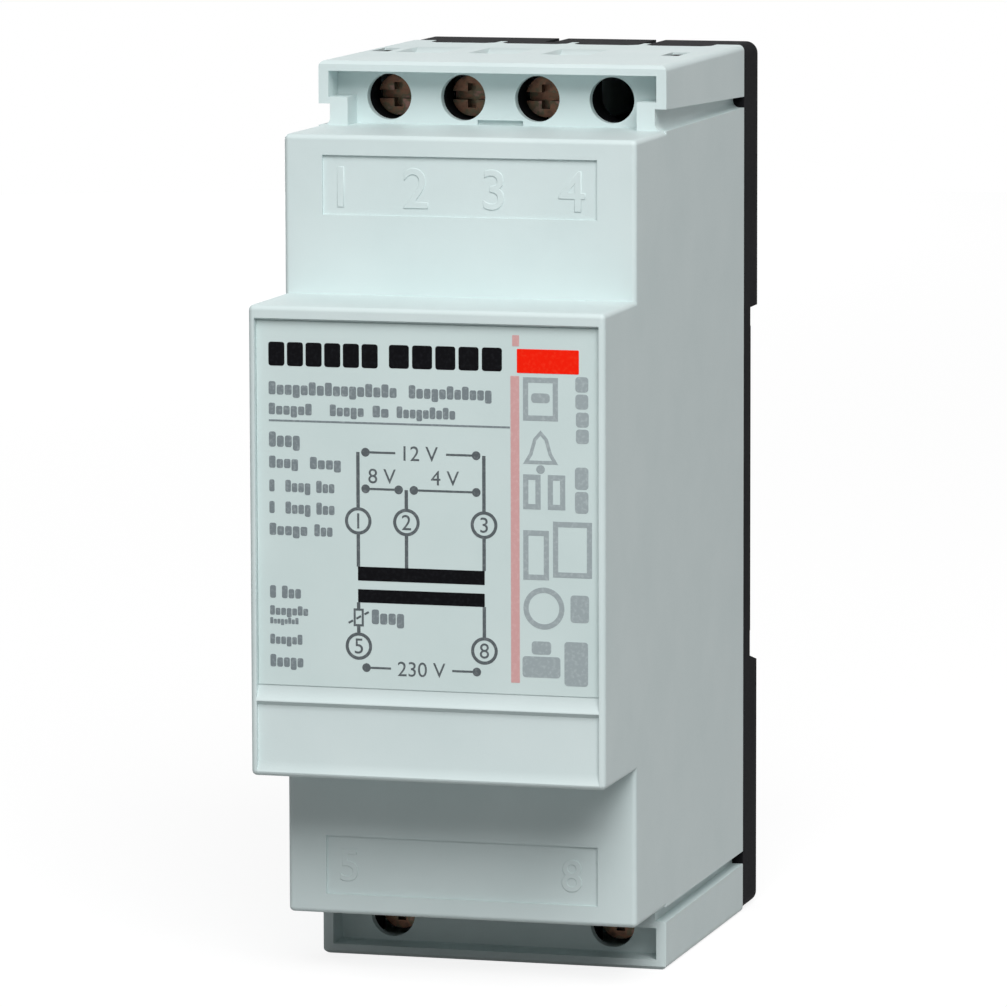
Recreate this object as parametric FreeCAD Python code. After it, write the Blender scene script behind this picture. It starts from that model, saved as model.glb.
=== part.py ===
"""Two-module doorbell transformer for a 35 mm rail, in millimetres.

X runs across the width, Y from the front towards the rail, Z up.
The origin is the middle of the flat seat that lies on the rail.
"""
import FreeCAD
import Part

import math
import os

Vector = FreeCAD.Vector

# Core of stacked laminations, all in units of one leg of the E
CORE_LEG = 8.0
CORE_STACK = 18.0
CORE_CLEARANCE = 0.25
CORE_PAD_HEIGHT = 1.6
CORE_PAD_SIDE = 6.0

# Housing outline
WIDTH = 35.0
WALL = 1.4
FRONT_WALL = 2.2
SHELL_BACK = 3.0
HOLE_FACE_DEPTH = 31.5
HOOD_LIP = 3.2
FRONT_RISE = 11.75
FRONT_HEIGHT = 45.2
BODY_HEIGHT = 75.9
TOWER_RISE = 6.3
EDGE_RADIUS = 0.5
HOOD_CORNER = 0.6
LIP_CHAMFER = 0.35

# Terminal hoods, each side groove with its height at the front and at the back
TOP_WALL = 1.0
HOOD_SIDE_WALL = 1.0
HOOD_LEDGE = 0.65
NECK_WALL = 1.8
GROOVE_DEPTH = 1.15
UPPER_GROOVE = (2.1, 1.1)
LOWER_GROOVE = (1.5, 1.3)
GROOVE_FILLET = 0.7
HOLE_WALL = 1.0
RIB_WALL = 0.9
RIB_REACH = 19.0
SLIT_WIDTH = 4.6
SLIT_HEIGHT = 0.5
SLIT_DEPTH = 0.5

# Front face
RIM_WIDTH = 0.6
LABEL_POCKET_DEPTH = 0.7
LABEL_TOP_GAP = 1.2
LABEL_TOP_SLOPE = 0.25
LABEL_POCKET_HEIGHT = 35.0
LABEL_LOW_SLOPE = 1.35
LABEL_THICKNESS = 0.12
LABEL_MARGIN = 0.1
RIDGE_WIDTH = 0.15
BAR_POCKET_DEPTH = 0.45
BAR_TOP_SLOPE = 0.4
BAR_POCKET_HEIGHT = 5.3
BAR_LOW_SLOPE = 1.1
NUMBER_WIDTH = 27.3
NUMBER_HEIGHT = 5.75
NUMBER_DEPTH = 0.3
NUMBER_FROM_EDGE = 1.95

# Terminals
SCREW_HOLE_DIAMETER = 4.5
TROUGH_WIDTH = 5.8
TROUGH_GAP = 0.15
HEAD_RECESS = 3.2
HEAD_DIAMETER = 4.0
HEAD_HEIGHT = 1.8
HEAD_CLEARANCE = 0.65
HEAD_IN_TROUGH = 1.5
DRIVE_WIDTH = 0.7
DRIVE_DEPTH = 0.9
SHANK_DIAMETER = 3.5
THREAD_CLEARANCE = 0.05
TIP_CLEARANCE = 0.05
NUT_WALL = 1.6
NUT_CLEARANCE = 0.2
CAGE_SIDE_WALL = 0.8
CAGE_BACK_WALL = 1.0
CAGE_GAP = 0.3
WIRE_GAP = 4.4
CLOSED_GAP = 0.1
BAR_THICKNESS = 0.8
BAR_SIDE_GAP = 0.3
BAR_TOP_GAP = 0.4
BAR_SHOULDER_HEIGHT = 0.6
BAR_SHOULDER_STEP = 0.6
BAR_TAIL_WIDTH = 2.0
BAR_TAIL_LENGTH = 3.0
SLOT_CLEARANCE = 0.05
FUNNEL_SPREAD = 0.25
FUNNEL_REACH = 1.9
FUNNEL_DEPTH = 0.7

# Base
BASE_BACK = 3.0
BASE_CORNER = 1.2
RAIL_SLOT_TOP = 17.5
RAIL_SLOT_BOTTOM = 18.2
RAIL_SLOT_LEAD_IN = 0.8
SEAT_HALF_HEIGHT = 15.6
SEAT_RELIEF = 0.15
HOOK_WIDTH = 7.0
HOOK_PLACE = 9.5
HOOK_DROP = 1.3
RAIL_GAP = 1.4
SHELF_THICKNESS = 1.8
SHELF_CLEARANCE = 0.2
SHELF_SIDE_CLEARANCE = 0.25
RIM_WALL = 1.2
RIM_CLEARANCE = 0.15
RIM_REACH = 3.0
RIM_HALF_HEIGHT = 30.0
TONGUE_WIDTH = 1.4
TONGUE_THICKNESS = 1.1
TONGUE_CLEARANCE = 0.1
TONGUE_FROM_SIDE = 1.95
FREE_TONGUE_FROM_SIDE = 3.3
TONGUE_REACH = 12.7
BARB_LENGTH = 4.6
BARB_RISE = 0.9
BARB_RAMP = 1.4
WINDOW_CLEARANCE = 0.2
LUG_HALF_WIDTH = 3.3
LUG_REACH = 3.0
LUG_CORNER = 0.9
LUG_CLEARANCE = 0.1
POCKET_DEPTH = 1.8
POCKET_MARGIN = 2.2
POCKET_RIB = 1.4
POCKET_COLUMNS = 3
NOTCH_WIDTH = 1.0
NOTCH_DEPTH = 0.8
NOTCH_PLACES = (-2.8, 7.4)

# Rail latch
LATCH_WIDTH = 14.0
LATCH_FLANGE = 1.4
LATCH_FLANGE_THICKNESS = 1.0
LATCH_CLEARANCE = 0.1
LATCH_CHANNEL_FLOOR = 0.7
LATCH_NOSE_REACH = 2.0
LATCH_NOSE_SLOPE = 1.0
LATCH_BOTTOM_GAP = 0.6
PRY_WIDTH = 5.0
PRY_HEIGHT = 1.6
PRY_FROM_BOTTOM = 2.4
SPRING_WIDTH = 6.0
SPRING_DEPTH = 2.0
SPRING_STRIP = 0.35
SPRING_RUNS = 4
SPRING_LENGTH = 8.0
SPRING_FROM_BOTTOM = 6.0
SPRING_CLEARANCE = 0.25
SPUR_HEIGHT = 2.0

# Coil former and windings
FORMER_WALL = 1.0
FORMER_CORE_GAP = 0.25
FORMER_END_GAP = 0.2
FLANGE_WALL = 1.2
FLANGE_CORE_GAP = 0.4
FLANGE_SIDE_GAP = 0.5
PRIMARY_SHARE = 0.5
WINDING_GAP = 0.05
WINDING_CORNER = 2.5
WRAP_THICKNESS = 0.3
WRAP_MARGIN = 0.45

# Overheating protector and inner leads
PTC_DIAMETER = 8.4
PTC_THICKNESS = 3.2
PTC_PLACE = -2.5
PTC_POST_SIDE = 4.0
LEAD_DIAMETER = 1.2
LEAD_CLEARANCE = 0.1
LEAD_SIDE_GAP = 0.6
LEAD_DROP = 5.0
LEAD_OVER_CORE = 2.0
LEAD_STEP = 3.0

# Places that follow from the sizes above
CORE_HEIGHT = 5.0 * CORE_LEG
CORE_HALF_WIDTH = 3.0 * CORE_LEG
HALF_WIDTH = WIDTH / 2.0
SHOULDER_DEPTH = SHELL_BACK + CORE_PAD_HEIGHT + CORE_HEIGHT + CORE_CLEARANCE + WALL
FRONT_DEPTH = SHOULDER_DEPTH + FRONT_RISE
HOOD_DEPTH = HOLE_FACE_DEPTH + HOOD_LIP
HALF_FRONT = FRONT_HEIGHT / 2.0
HALF_BODY = BODY_HEIGHT / 2.0
HALF_TOTAL = HALF_BODY + TOWER_RISE
INNER_HALF_WIDTH = HALF_WIDTH - WALL
INNER_HALF_BODY = HALF_BODY - WALL
PLATE_INNER = HALF_TOTAL - TOP_WALL
NECK_HALF_WIDTH = HALF_WIDTH - GROOVE_DEPTH
NECK_INNER = NECK_HALF_WIDTH - NECK_WALL
HOOD_INNER = HALF_WIDTH - HOOD_SIDE_WALL

CELL_WIDTH = (2.0 * NECK_INNER - 3.0 * RIB_WALL) / 4.0
PITCH = CELL_WIDTH + RIB_WALL
CELL_X = tuple((index - 1.5) * PITCH for index in range(4))
RIB_X = tuple((index - 1.0) * PITCH for index in range(3))
AXIS_Z = PLATE_INNER - HEAD_CLEARANCE - HEAD_DIAMETER / 2.0
CAGE_WIDTH = CELL_WIDTH - 2.0 * CAGE_GAP
CAGE_INNER = CAGE_WIDTH - 2.0 * CAGE_SIDE_WALL
CAGE_HALF_HEIGHT = PLATE_INNER - HEAD_CLEARANCE - AXIS_Z
CAGE_TRAVEL = WIRE_GAP - CLOSED_GAP
HEAD_FRONT = -HOLE_FACE_DEPTH + HEAD_RECESS
HEAD_BACK = HEAD_FRONT + HEAD_HEIGHT
NUT_FRONT = HEAD_BACK + NUT_CLEARANCE + CAGE_TRAVEL
NUT_BACK = NUT_FRONT + NUT_WALL
BAR_FRONT = NUT_BACK + NUT_CLEARANCE
BAR_BACK = BAR_FRONT + BAR_THICKNESS
BAR_MIDDLE = (BAR_FRONT + BAR_BACK) / 2.0
WIRE_BACK = BAR_BACK + WIRE_GAP
CAGE_BACK = WIRE_BACK + CAGE_BACK_WALL
TROUGH_FRONT = -HOLE_FACE_DEPTH + HOLE_WALL + TROUGH_GAP
TROUGH_BACK = HEAD_FRONT + HEAD_IN_TROUGH
BARB_BACK = -SHELL_BACK - TONGUE_REACH
BARB_FRONT = BARB_BACK - BARB_LENGTH
BAR_WIDTH = CAGE_INNER - 2.0 * BAR_SIDE_GAP
SHELF_TOP = AXIS_Z - CAGE_HALF_HEIGHT - SHELF_CLEARANCE - BAR_SHOULDER_HEIGHT
SHELF_BOTTOM = SHELF_TOP - SHELF_THICKNESS
BAR_TAIL_END = SHELF_BOTTOM - BAR_TAIL_LENGTH

CORE_BACK = -SHELL_BACK - CORE_PAD_HEIGHT
CORE_FRONT = CORE_BACK - CORE_HEIGHT
WINDOW_BACK = CORE_BACK - CORE_LEG
WINDOW_FRONT = CORE_FRONT + CORE_LEG
FORMER_BACK = WINDOW_BACK - FORMER_END_GAP
FORMER_FRONT = WINDOW_FRONT + FORMER_END_GAP
FORMER_INNER_X = CORE_STACK / 2.0 + FORMER_CORE_GAP
FORMER_INNER_Z = CORE_LEG + FORMER_CORE_GAP
FORMER_OUTER_X = FORMER_INNER_X + FORMER_WALL
FORMER_OUTER_Z = FORMER_INNER_Z + FORMER_WALL
FLANGE_X = INNER_HALF_WIDTH - FLANGE_SIDE_GAP
FLANGE_Z = 2.0 * CORE_LEG - FLANGE_CORE_GAP
CHAMBER_LENGTH = FORMER_BACK - FORMER_FRONT - 3.0 * FLANGE_WALL
MIDDLE_FRONT = FORMER_FRONT + FLANGE_WALL + (1.0 - PRIMARY_SHARE) * CHAMBER_LENGTH
MIDDLE_BACK = MIDDLE_FRONT + FLANGE_WALL

LATCH_HALF = LATCH_WIDTH / 2.0
LATCH_LOWER = -HALF_TOTAL + LATCH_BOTTOM_GAP
SPRING_LOWER = -HALF_TOTAL + SPRING_FROM_BOTTOM
SPRING_UPPER = SPRING_LOWER + SPRING_LENGTH
SPRING_ROOM = SPRING_WIDTH / 2.0 + SPRING_CLEARANCE
SPRING_BACK = LATCH_CHANNEL_FLOOR - SPRING_CLEARANCE
SPRING_FRONT = SPRING_BACK - SPRING_DEPTH
PTC_BACK = BAR_MIDDLE + PTC_THICKNESS / 2.0
PTC_HEIGHT = -(CORE_HALF_WIDTH + SHELF_BOTTOM) / 2.0
WRAP_Z = FLANGE_Z - WRAP_MARGIN
LEAD_X = CORE_STACK / 2.0 + LEAD_SIDE_GAP + LEAD_DIAMETER / 2.0

UPPER_TERMINALS = {"1": CELL_X[0], "2": CELL_X[1], "3": CELL_X[2]}
LOWER_TERMINALS = {"5": CELL_X[0], "8": CELL_X[3]}
UPPER_CELLS = CELL_X
LOWER_CELLS = (CELL_X[0], CELL_X[3])
SIDE_TONGUE = HALF_WIDTH - TONGUE_FROM_SIDE
UPPER_TONGUES = (-SIDE_TONGUE, HALF_WIDTH - FREE_TONGUE_FROM_SIDE)
LOWER_TONGUES = (-SIDE_TONGUE, SIDE_TONGUE)


def block(x_low, x_high, y_low, y_high, z_low, z_high):
    """Box between two corners."""
    corner = Vector(x_low, y_low, z_low)
    return Part.makeBox(x_high - x_low, y_high - y_low, z_high - z_low, corner)


def rod_y(x, z, radius, y_low, y_high):
    """Round rod along Y."""
    return Part.makeCylinder(radius, y_high - y_low, Vector(x, y_low, z), Vector(0, 1, 0))


def prism_x(points, x_low, x_high):
    """Solid with the outline of (y, z) points, pulled along X."""
    corners = [Vector(x_low, y, z) for y, z in points]
    face = Part.Face(Part.makePolygon(corners + corners[:1]))
    return face.extrude(Vector(x_high - x_low, 0, 0))


def prism_y(edges, y_length):
    """Solid from a closed flat outline, pulled along Y."""
    return Part.Face(Part.Wire(edges)).extrude(Vector(0, y_length, 0))


def joined(shapes):
    """One solid from several that touch or overlap."""
    return shapes[0].multiFuse(shapes[1:]).removeSplitter()


def upside_down(shape):
    """Copy of a shape on the lower side."""
    return shape.mirror(Vector(0, 0, 0), Vector(0, 0, 1))


def other_side(shape):
    """Copy of a shape on the left side."""
    return shape.mirror(Vector(0, 0, 0), Vector(1, 0, 0))


def both_sides(shape):
    """A right-hand shape and its left-hand copy."""
    return [shape, other_side(shape)]


def rounded(shape, radius, chosen):
    """Shape with the chosen edges rounded."""
    edges = [edge for edge in shape.Edges if chosen(edge.CenterOfMass, edge)]
    return shape.makeFillet(radius, edges)


def near(value, target):
    """Whether two places are the same."""
    return abs(value - target) < 1e-6


def side_outline():
    """Outline of the housing seen from the side, as (y, z) points."""
    upper = [
        (-SHELL_BACK, HALF_TOTAL),
        (-HOOD_DEPTH + LIP_CHAMFER, HALF_TOTAL),
        (-HOOD_DEPTH, HALF_TOTAL - LIP_CHAMFER),
        (-HOOD_DEPTH, HALF_BODY),
        (-SHOULDER_DEPTH, HALF_BODY),
        (-SHOULDER_DEPTH, HALF_FRONT),
        (-FRONT_DEPTH, HALF_FRONT),
    ]
    lower = [(y, -z) for y, z in reversed(upper)]
    return upper + lower


def rounded_blank():
    """Solid block of the housing with its outer edges rounded."""
    blank = prism_x(side_outline(), -HALF_WIDTH, HALF_WIDTH)

    def outer_edge(middle, edge):
        on_side = near(abs(middle.x), HALF_WIDTH)
        at_front = near(middle.y, -FRONT_DEPTH) or near(middle.y, -SHOULDER_DEPTH)
        crosswise = near(middle.x, 0.0)
        corner = near(abs(middle.z), HALF_FRONT) and near(middle.y, -FRONT_DEPTH)
        shoulder = near(abs(middle.z), HALF_BODY) and near(middle.y, -SHOULDER_DEPTH)
        if crosswise:
            return corner or shoulder
        if not on_side:
            return False
        front_run = near(abs(middle.z), HALF_FRONT)
        body_run = near(abs(middle.z), HALF_BODY)
        return at_front or front_run or body_run

    blank = rounded(blank, EDGE_RADIUS, outer_edge)

    def hood_corner(middle, edge):
        return near(abs(middle.z), HALF_TOTAL) and near(abs(middle.x), HALF_WIDTH)

    return rounded(blank, HOOD_CORNER, hood_corner)


def ledge_height(groove):
    """Height of the hood's lower edge at the front, above a groove."""
    return HALF_BODY + groove[0]


def side_groove(groove):
    """Cut along the right side under the upper hood, sloped from front to back."""
    outside = HALF_WIDTH + WALL
    ledge = ledge_height(groove)
    roof = ledge + WALL
    centre = Vector(NECK_HALF_WIDTH + GROOVE_FILLET, 0, HALF_BODY + GROOVE_FILLET)
    lean = math.sqrt(0.5) * GROOVE_FILLET
    start = Vector(centre.x, 0, HALF_BODY)
    middle = centre - Vector(lean, 0, lean)
    end = Vector(NECK_HALF_WIDTH, 0, centre.z)
    far_low = Vector(outside, 0, HALF_BODY)
    far_high = Vector(outside, 0, roof)
    near_high = Vector(NECK_HALF_WIDTH, 0, roof)
    edges = [
        Part.makeLine(far_low, start),
        Part.Arc(start, middle, end).toShape(),
        Part.makeLine(end, near_high),
        Part.makeLine(near_high, far_high),
        Part.makeLine(far_high, far_low),
    ]
    section = prism_y(edges, HOOD_DEPTH + WALL - SHELL_BACK)
    section.translate(Vector(0, -HOOD_DEPTH - WALL, 0))
    wedge = prism_x(
        [
            (-HOOD_DEPTH - WALL, HALF_BODY),
            (-SHELL_BACK, HALF_BODY),
            (-SHELL_BACK, HALF_BODY + groove[1]),
            (-HOOD_DEPTH, ledge),
            (-HOOD_DEPTH - WALL, ledge),
        ],
        0.0,
        outside,
    )
    return section.common(wedge)


def hood_recess(groove):
    """Cuts for the open front of the upper hood."""
    front = -HOOD_DEPTH - WALL
    back = -HOLE_FACE_DEPTH
    low = ledge_height(groove) + HOOD_LEDGE
    wide = block(-HOOD_INNER, HOOD_INNER, front, back, low, PLATE_INNER)
    deep = block(-NECK_INNER, NECK_INNER, front, back, HALF_BODY, PLATE_INNER)
    return [wide, deep]


def tower_cavity(groove):
    """Cuts for the room behind the upper hole face."""
    front = -HOLE_FACE_DEPTH + HOLE_WALL
    low = ledge_height(groove) + HOOD_LEDGE
    wide = block(-HOOD_INNER, HOOD_INNER, front, 0.0, low, PLATE_INNER)
    deep = block(-NECK_INNER, NECK_INNER, front, 0.0, 0.0, PLATE_INNER)
    return [wide, deep]


def wire_entry(x):
    """Square hole with a long sloped mouth through the upper plate of one terminal."""
    half = CAGE_INNER / 2.0
    shaft = block(x - half, x + half, BAR_BACK, WIRE_BACK, PLATE_INNER - WALL, HALF_TOTAL)

    def ring(spread, reach, z):
        low = Vector(x - half - spread, BAR_BACK - reach, z)
        high = Vector(x + half + spread, WIRE_BACK + reach, z)
        corners = [low, Vector(high.x, low.y, z), high, Vector(low.x, high.y, z)]
        return Part.makePolygon(corners + corners[:1])

    throat = ring(0.0, 0.0, HALF_TOTAL - FUNNEL_DEPTH)
    mouth = Part.makeLoft([throat, ring(FUNNEL_SPREAD, FUNNEL_REACH, HALF_TOTAL)], True, True)
    return [shaft, mouth]


def tongue_window(x):
    """Hole in the upper plate that takes the barb of one tongue."""
    half = TONGUE_WIDTH / 2.0 + WINDOW_CLEARANCE
    front = BARB_FRONT - WINDOW_CLEARANCE
    back = BARB_BACK + WINDOW_CLEARANCE
    return block(x - half, x + half, front, back, PLATE_INNER, HALF_TOTAL)


def plate_lug(x, room):
    """Lug in the back edge of the upper plate, level with it, grown by some room."""
    half = LUG_HALF_WIDTH + room
    front = -SHELL_BACK - LUG_REACH - room
    corner = front + LUG_CORNER
    tip = half - LUG_CORNER
    outline = [
        Vector(x - half, -SHELL_BACK, PLATE_INNER),
        Vector(x - half, corner, PLATE_INNER),
        Vector(x - tip, front, PLATE_INNER),
        Vector(x + tip, front, PLATE_INNER),
        Vector(x + half, corner, PLATE_INNER),
        Vector(x + half, -SHELL_BACK, PLATE_INNER),
    ]
    face = Part.Face(Part.makePolygon(outline + outline[:1]))
    return face.extrude(Vector(0, 0, TOP_WALL))


def hood_cuts(cells, terminals, tongues, groove):
    """Every cut of the upper hood for the given places."""
    cuts = both_sides(side_groove(groove)) + hood_recess(groove) + tower_cavity(groove)
    cuts += [tongue_window(x) for x in tongues]
    for x in terminals.values():
        cuts += wire_entry(x)
    for x in cells:
        cuts.append(plate_lug(x, LUG_CLEARANCE))
        cuts.append(rod_y(x, AXIS_Z, SCREW_HOLE_DIAMETER / 2.0, -HOOD_DEPTH, TROUGH_FRONT))
    return cuts


def hood_ribs():
    """Partitions between the places of the upper hood."""
    front = -HOLE_FACE_DEPTH + HOLE_WALL
    half = RIB_WALL / 2.0
    low = SHELF_TOP + SHELF_CLEARANCE
    return [
        block(x - half, x + half, front, front + RIB_REACH, low, PLATE_INNER) for x in RIB_X
    ]


def front_pockets():
    """Label pocket and bar pocket of the raised front, with sloped ends."""
    face = -FRONT_DEPTH
    floor = face + LABEL_POCKET_DEPTH
    top = HALF_FRONT - LABEL_TOP_GAP
    flat_top = top - LABEL_TOP_SLOPE
    flat_low = flat_top - LABEL_POCKET_HEIGHT
    low = flat_low - LABEL_LOW_SLOPE
    bar_floor = face + BAR_POCKET_DEPTH
    bar_top = low - RIDGE_WIDTH
    bar_flat_top = bar_top - BAR_TOP_SLOPE
    bar_flat_low = bar_flat_top - BAR_POCKET_HEIGHT
    bar_low = bar_flat_low - BAR_LOW_SLOPE
    half = HALF_WIDTH - RIM_WIDTH
    label = prism_x([(face, top), (floor, flat_top), (floor, flat_low), (face, low)], -half, half)
    bar = prism_x(
        [(face, bar_top), (bar_floor, bar_flat_top), (bar_floor, bar_flat_low), (face, bar_low)],
        -half,
        half,
    )
    return [label, bar]


def number_recess():
    """Shallow frame for the numbers on the upper shoulder."""
    half = NUMBER_WIDTH / 2.0
    high = HALF_BODY - NUMBER_FROM_EDGE
    front = -SHOULDER_DEPTH
    return block(-half, half, front, front + NUMBER_DEPTH, high - NUMBER_HEIGHT, high)


def foot_slit():
    """Narrow blind slit at the foot of the upper hole face."""
    half = SLIT_WIDTH / 2.0
    back = -HOLE_FACE_DEPTH + SLIT_DEPTH
    return block(-half, half, -HOOD_DEPTH, back, HALF_BODY, HALF_BODY + SLIT_HEIGHT)


def housing():
    """Grey shell with raised front, two shoulders and two terminal hoods."""
    cuts = [
        block(
            -INNER_HALF_WIDTH,
            INNER_HALF_WIDTH,
            -SHOULDER_DEPTH + WALL,
            0.0,
            -INNER_HALF_BODY,
            INNER_HALF_BODY,
        ),
        block(
            -INNER_HALF_WIDTH,
            INNER_HALF_WIDTH,
            -FRONT_DEPTH + FRONT_WALL,
            -SHOULDER_DEPTH + 2.0 * WALL,
            -HALF_FRONT + WALL,
            HALF_FRONT - WALL,
        ),
        number_recess(),
        upside_down(number_recess()),
        foot_slit(),
    ]
    cuts += front_pockets()
    cuts += hood_cuts(UPPER_CELLS, UPPER_TERMINALS, UPPER_TONGUES, UPPER_GROOVE)
    lower = hood_cuts(LOWER_CELLS, LOWER_TERMINALS, LOWER_TONGUES, LOWER_GROOVE)
    cuts += [upside_down(cut) for cut in lower]
    shell = rounded_blank().cut(cuts)
    ribs = hood_ribs() + [upside_down(rib) for rib in hood_ribs()]
    return joined([shell] + ribs)


def front_label():
    """Thin printed plate on the floor of the label pocket."""
    floor = -FRONT_DEPTH + LABEL_POCKET_DEPTH
    half = HALF_WIDTH - RIM_WIDTH - LABEL_MARGIN
    high = HALF_FRONT - LABEL_TOP_GAP - LABEL_TOP_SLOPE
    low = high - LABEL_POCKET_HEIGHT
    return block(
        -half, half, floor - LABEL_THICKNESS, floor, low + LABEL_MARGIN, high - LABEL_MARGIN
    )


def base_plate():
    """Back plate with the slot for the rail."""
    lead_in = RAIL_SLOT_BOTTOM + RAIL_SLOT_LEAD_IN
    outline = [
        (-SHELL_BACK, HALF_TOTAL),
        (BASE_BACK, HALF_TOTAL),
        (BASE_BACK, RAIL_SLOT_TOP),
        (-SEAT_RELIEF, RAIL_SLOT_TOP),
        (-SEAT_RELIEF, SEAT_HALF_HEIGHT),
        (0.0, SEAT_HALF_HEIGHT),
        (0.0, -SEAT_HALF_HEIGHT),
        (-SEAT_RELIEF, -SEAT_HALF_HEIGHT),
        (-SEAT_RELIEF, -RAIL_SLOT_BOTTOM),
        (BASE_BACK, -lead_in),
        (BASE_BACK, -HALF_TOTAL),
        (-SHELL_BACK, -HALF_TOTAL),
    ]
    plate = prism_x(outline, -HALF_WIDTH, HALF_WIDTH)

    def corner(middle, edge):
        return near(abs(middle.x), HALF_WIDTH) and near(abs(middle.z), HALF_TOTAL)

    return rounded(plate, BASE_CORNER, corner)


def upper_pockets():
    """Cored pockets in the back of the upper half."""
    room = WIDTH - 2.0 * POCKET_MARGIN
    width = (room - (POCKET_COLUMNS - 1) * POCKET_RIB) / POCKET_COLUMNS
    pockets = []
    for column in range(POCKET_COLUMNS):
        left = -room / 2.0 + column * (width + POCKET_RIB)
        pockets.append(
            block(
                left,
                left + width,
                BASE_BACK - POCKET_DEPTH,
                BASE_BACK,
                RAIL_SLOT_TOP + POCKET_MARGIN,
                HALF_TOTAL - POCKET_MARGIN,
            )
        )
    return pockets


def lower_pocket():
    """Cored pocket beside the latch, on the right."""
    inner = LATCH_HALF + LATCH_CLEARANCE + POCKET_RIB
    outer = HALF_WIDTH - POCKET_MARGIN
    high = -RAIL_SLOT_BOTTOM - RAIL_SLOT_LEAD_IN - POCKET_MARGIN
    low = -HALF_TOTAL + POCKET_MARGIN
    return block(inner, outer, BASE_BACK - POCKET_DEPTH, BASE_BACK, low, high)


def latch_channel():
    """Undercut channel in the base for the rail latch, with the spring's room."""
    half = LATCH_HALF + LATCH_CLEARANCE
    neck = half - LATCH_FLANGE
    high = -RAIL_SLOT_BOTTOM + RAIL_SLOT_LEAD_IN
    low = -HALF_TOTAL - WALL
    flange_back = LATCH_CHANNEL_FLOOR + LATCH_FLANGE_THICKNESS + 2.0 * LATCH_CLEARANCE
    wide = block(-half, half, LATCH_CHANNEL_FLOOR, flange_back, low, high)
    open_back = block(-neck, neck, LATCH_CHANNEL_FLOOR, BASE_BACK + WALL, low, high)
    spur_top = SPRING_UPPER + SPUR_HEIGHT + 2.0 * LATCH_CLEARANCE
    spring = block(
        -SPRING_ROOM,
        SPRING_ROOM,
        SPRING_FRONT - SPRING_CLEARANCE,
        LATCH_CHANNEL_FLOOR,
        SPRING_LOWER,
        spur_top,
    )
    return [wide, open_back, spring]


def screw_trough(x):
    """Open trough on the shelf that guides one screw head and the driver's tip."""
    half = TROUGH_WIDTH / 2.0
    radius = SCREW_HOLE_DIAMETER / 2.0
    top = PLATE_INNER - TROUGH_GAP
    body = block(x - half, x + half, TROUGH_FRONT, TROUGH_BACK, SHELF_TOP, top)
    bed = rod_y(x, AXIS_Z, radius, TROUGH_FRONT, TROUGH_BACK)
    mouth = block(x - radius, x + radius, TROUGH_FRONT, TROUGH_BACK, AXIS_Z, top)
    return body.cut([bed, mouth])


def terminal_shelf(terminals, cells):
    """Shelf inside the upper hood with its screw troughs and a slot for each contact bar."""
    half = NECK_INNER - SHELF_SIDE_CLEARANCE
    shelf = block(-half, half, TROUGH_FRONT, -SHELL_BACK, SHELF_BOTTOM, SHELF_TOP)
    shelf = joined([shelf] + [screw_trough(x) for x in cells])
    slots = []
    for x in terminals.values():
        reach = BAR_WIDTH / 2.0 + SLOT_CLEARANCE
        slots.append(
            block(
                x - reach,
                x + reach,
                BAR_FRONT - SLOT_CLEARANCE,
                BAR_BACK + SLOT_CLEARANCE,
                SHELF_BOTTOM,
                SHELF_TOP,
            )
        )
    return shelf.cut(slots)


def snap_tongue(x):
    """Tongue under the upper plate, with its sloped barb in the window."""
    half = TONGUE_WIDTH / 2.0
    top = PLATE_INNER - TONGUE_CLEARANCE
    outline = [
        (-SHELL_BACK, top),
        (BARB_BACK, top),
        (BARB_BACK, top + BARB_RISE),
        (BARB_FRONT + BARB_RAMP, top + BARB_RISE),
        (BARB_FRONT, top),
        (BARB_FRONT, top - TONGUE_THICKNESS),
        (-SHELL_BACK, top - TONGUE_THICKNESS),
    ]
    return prism_x(outline, x - half, x + half)


def rail_hook(x):
    """Fixed lip above the slot that reaches behind the rail's edge."""
    half = HOOK_WIDTH / 2.0
    return block(
        x - half, x + half, RAIL_GAP, BASE_BACK, RAIL_SLOT_TOP - HOOK_DROP, RAIL_SLOT_TOP
    )


def core_pad(z):
    """Right pad that carries the back of the core."""
    outer = CORE_STACK / 2.0
    half = CORE_PAD_SIDE / 2.0
    return block(outer - CORE_PAD_SIDE, outer, CORE_BACK, -SHELL_BACK, z - half, z + half)


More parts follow.
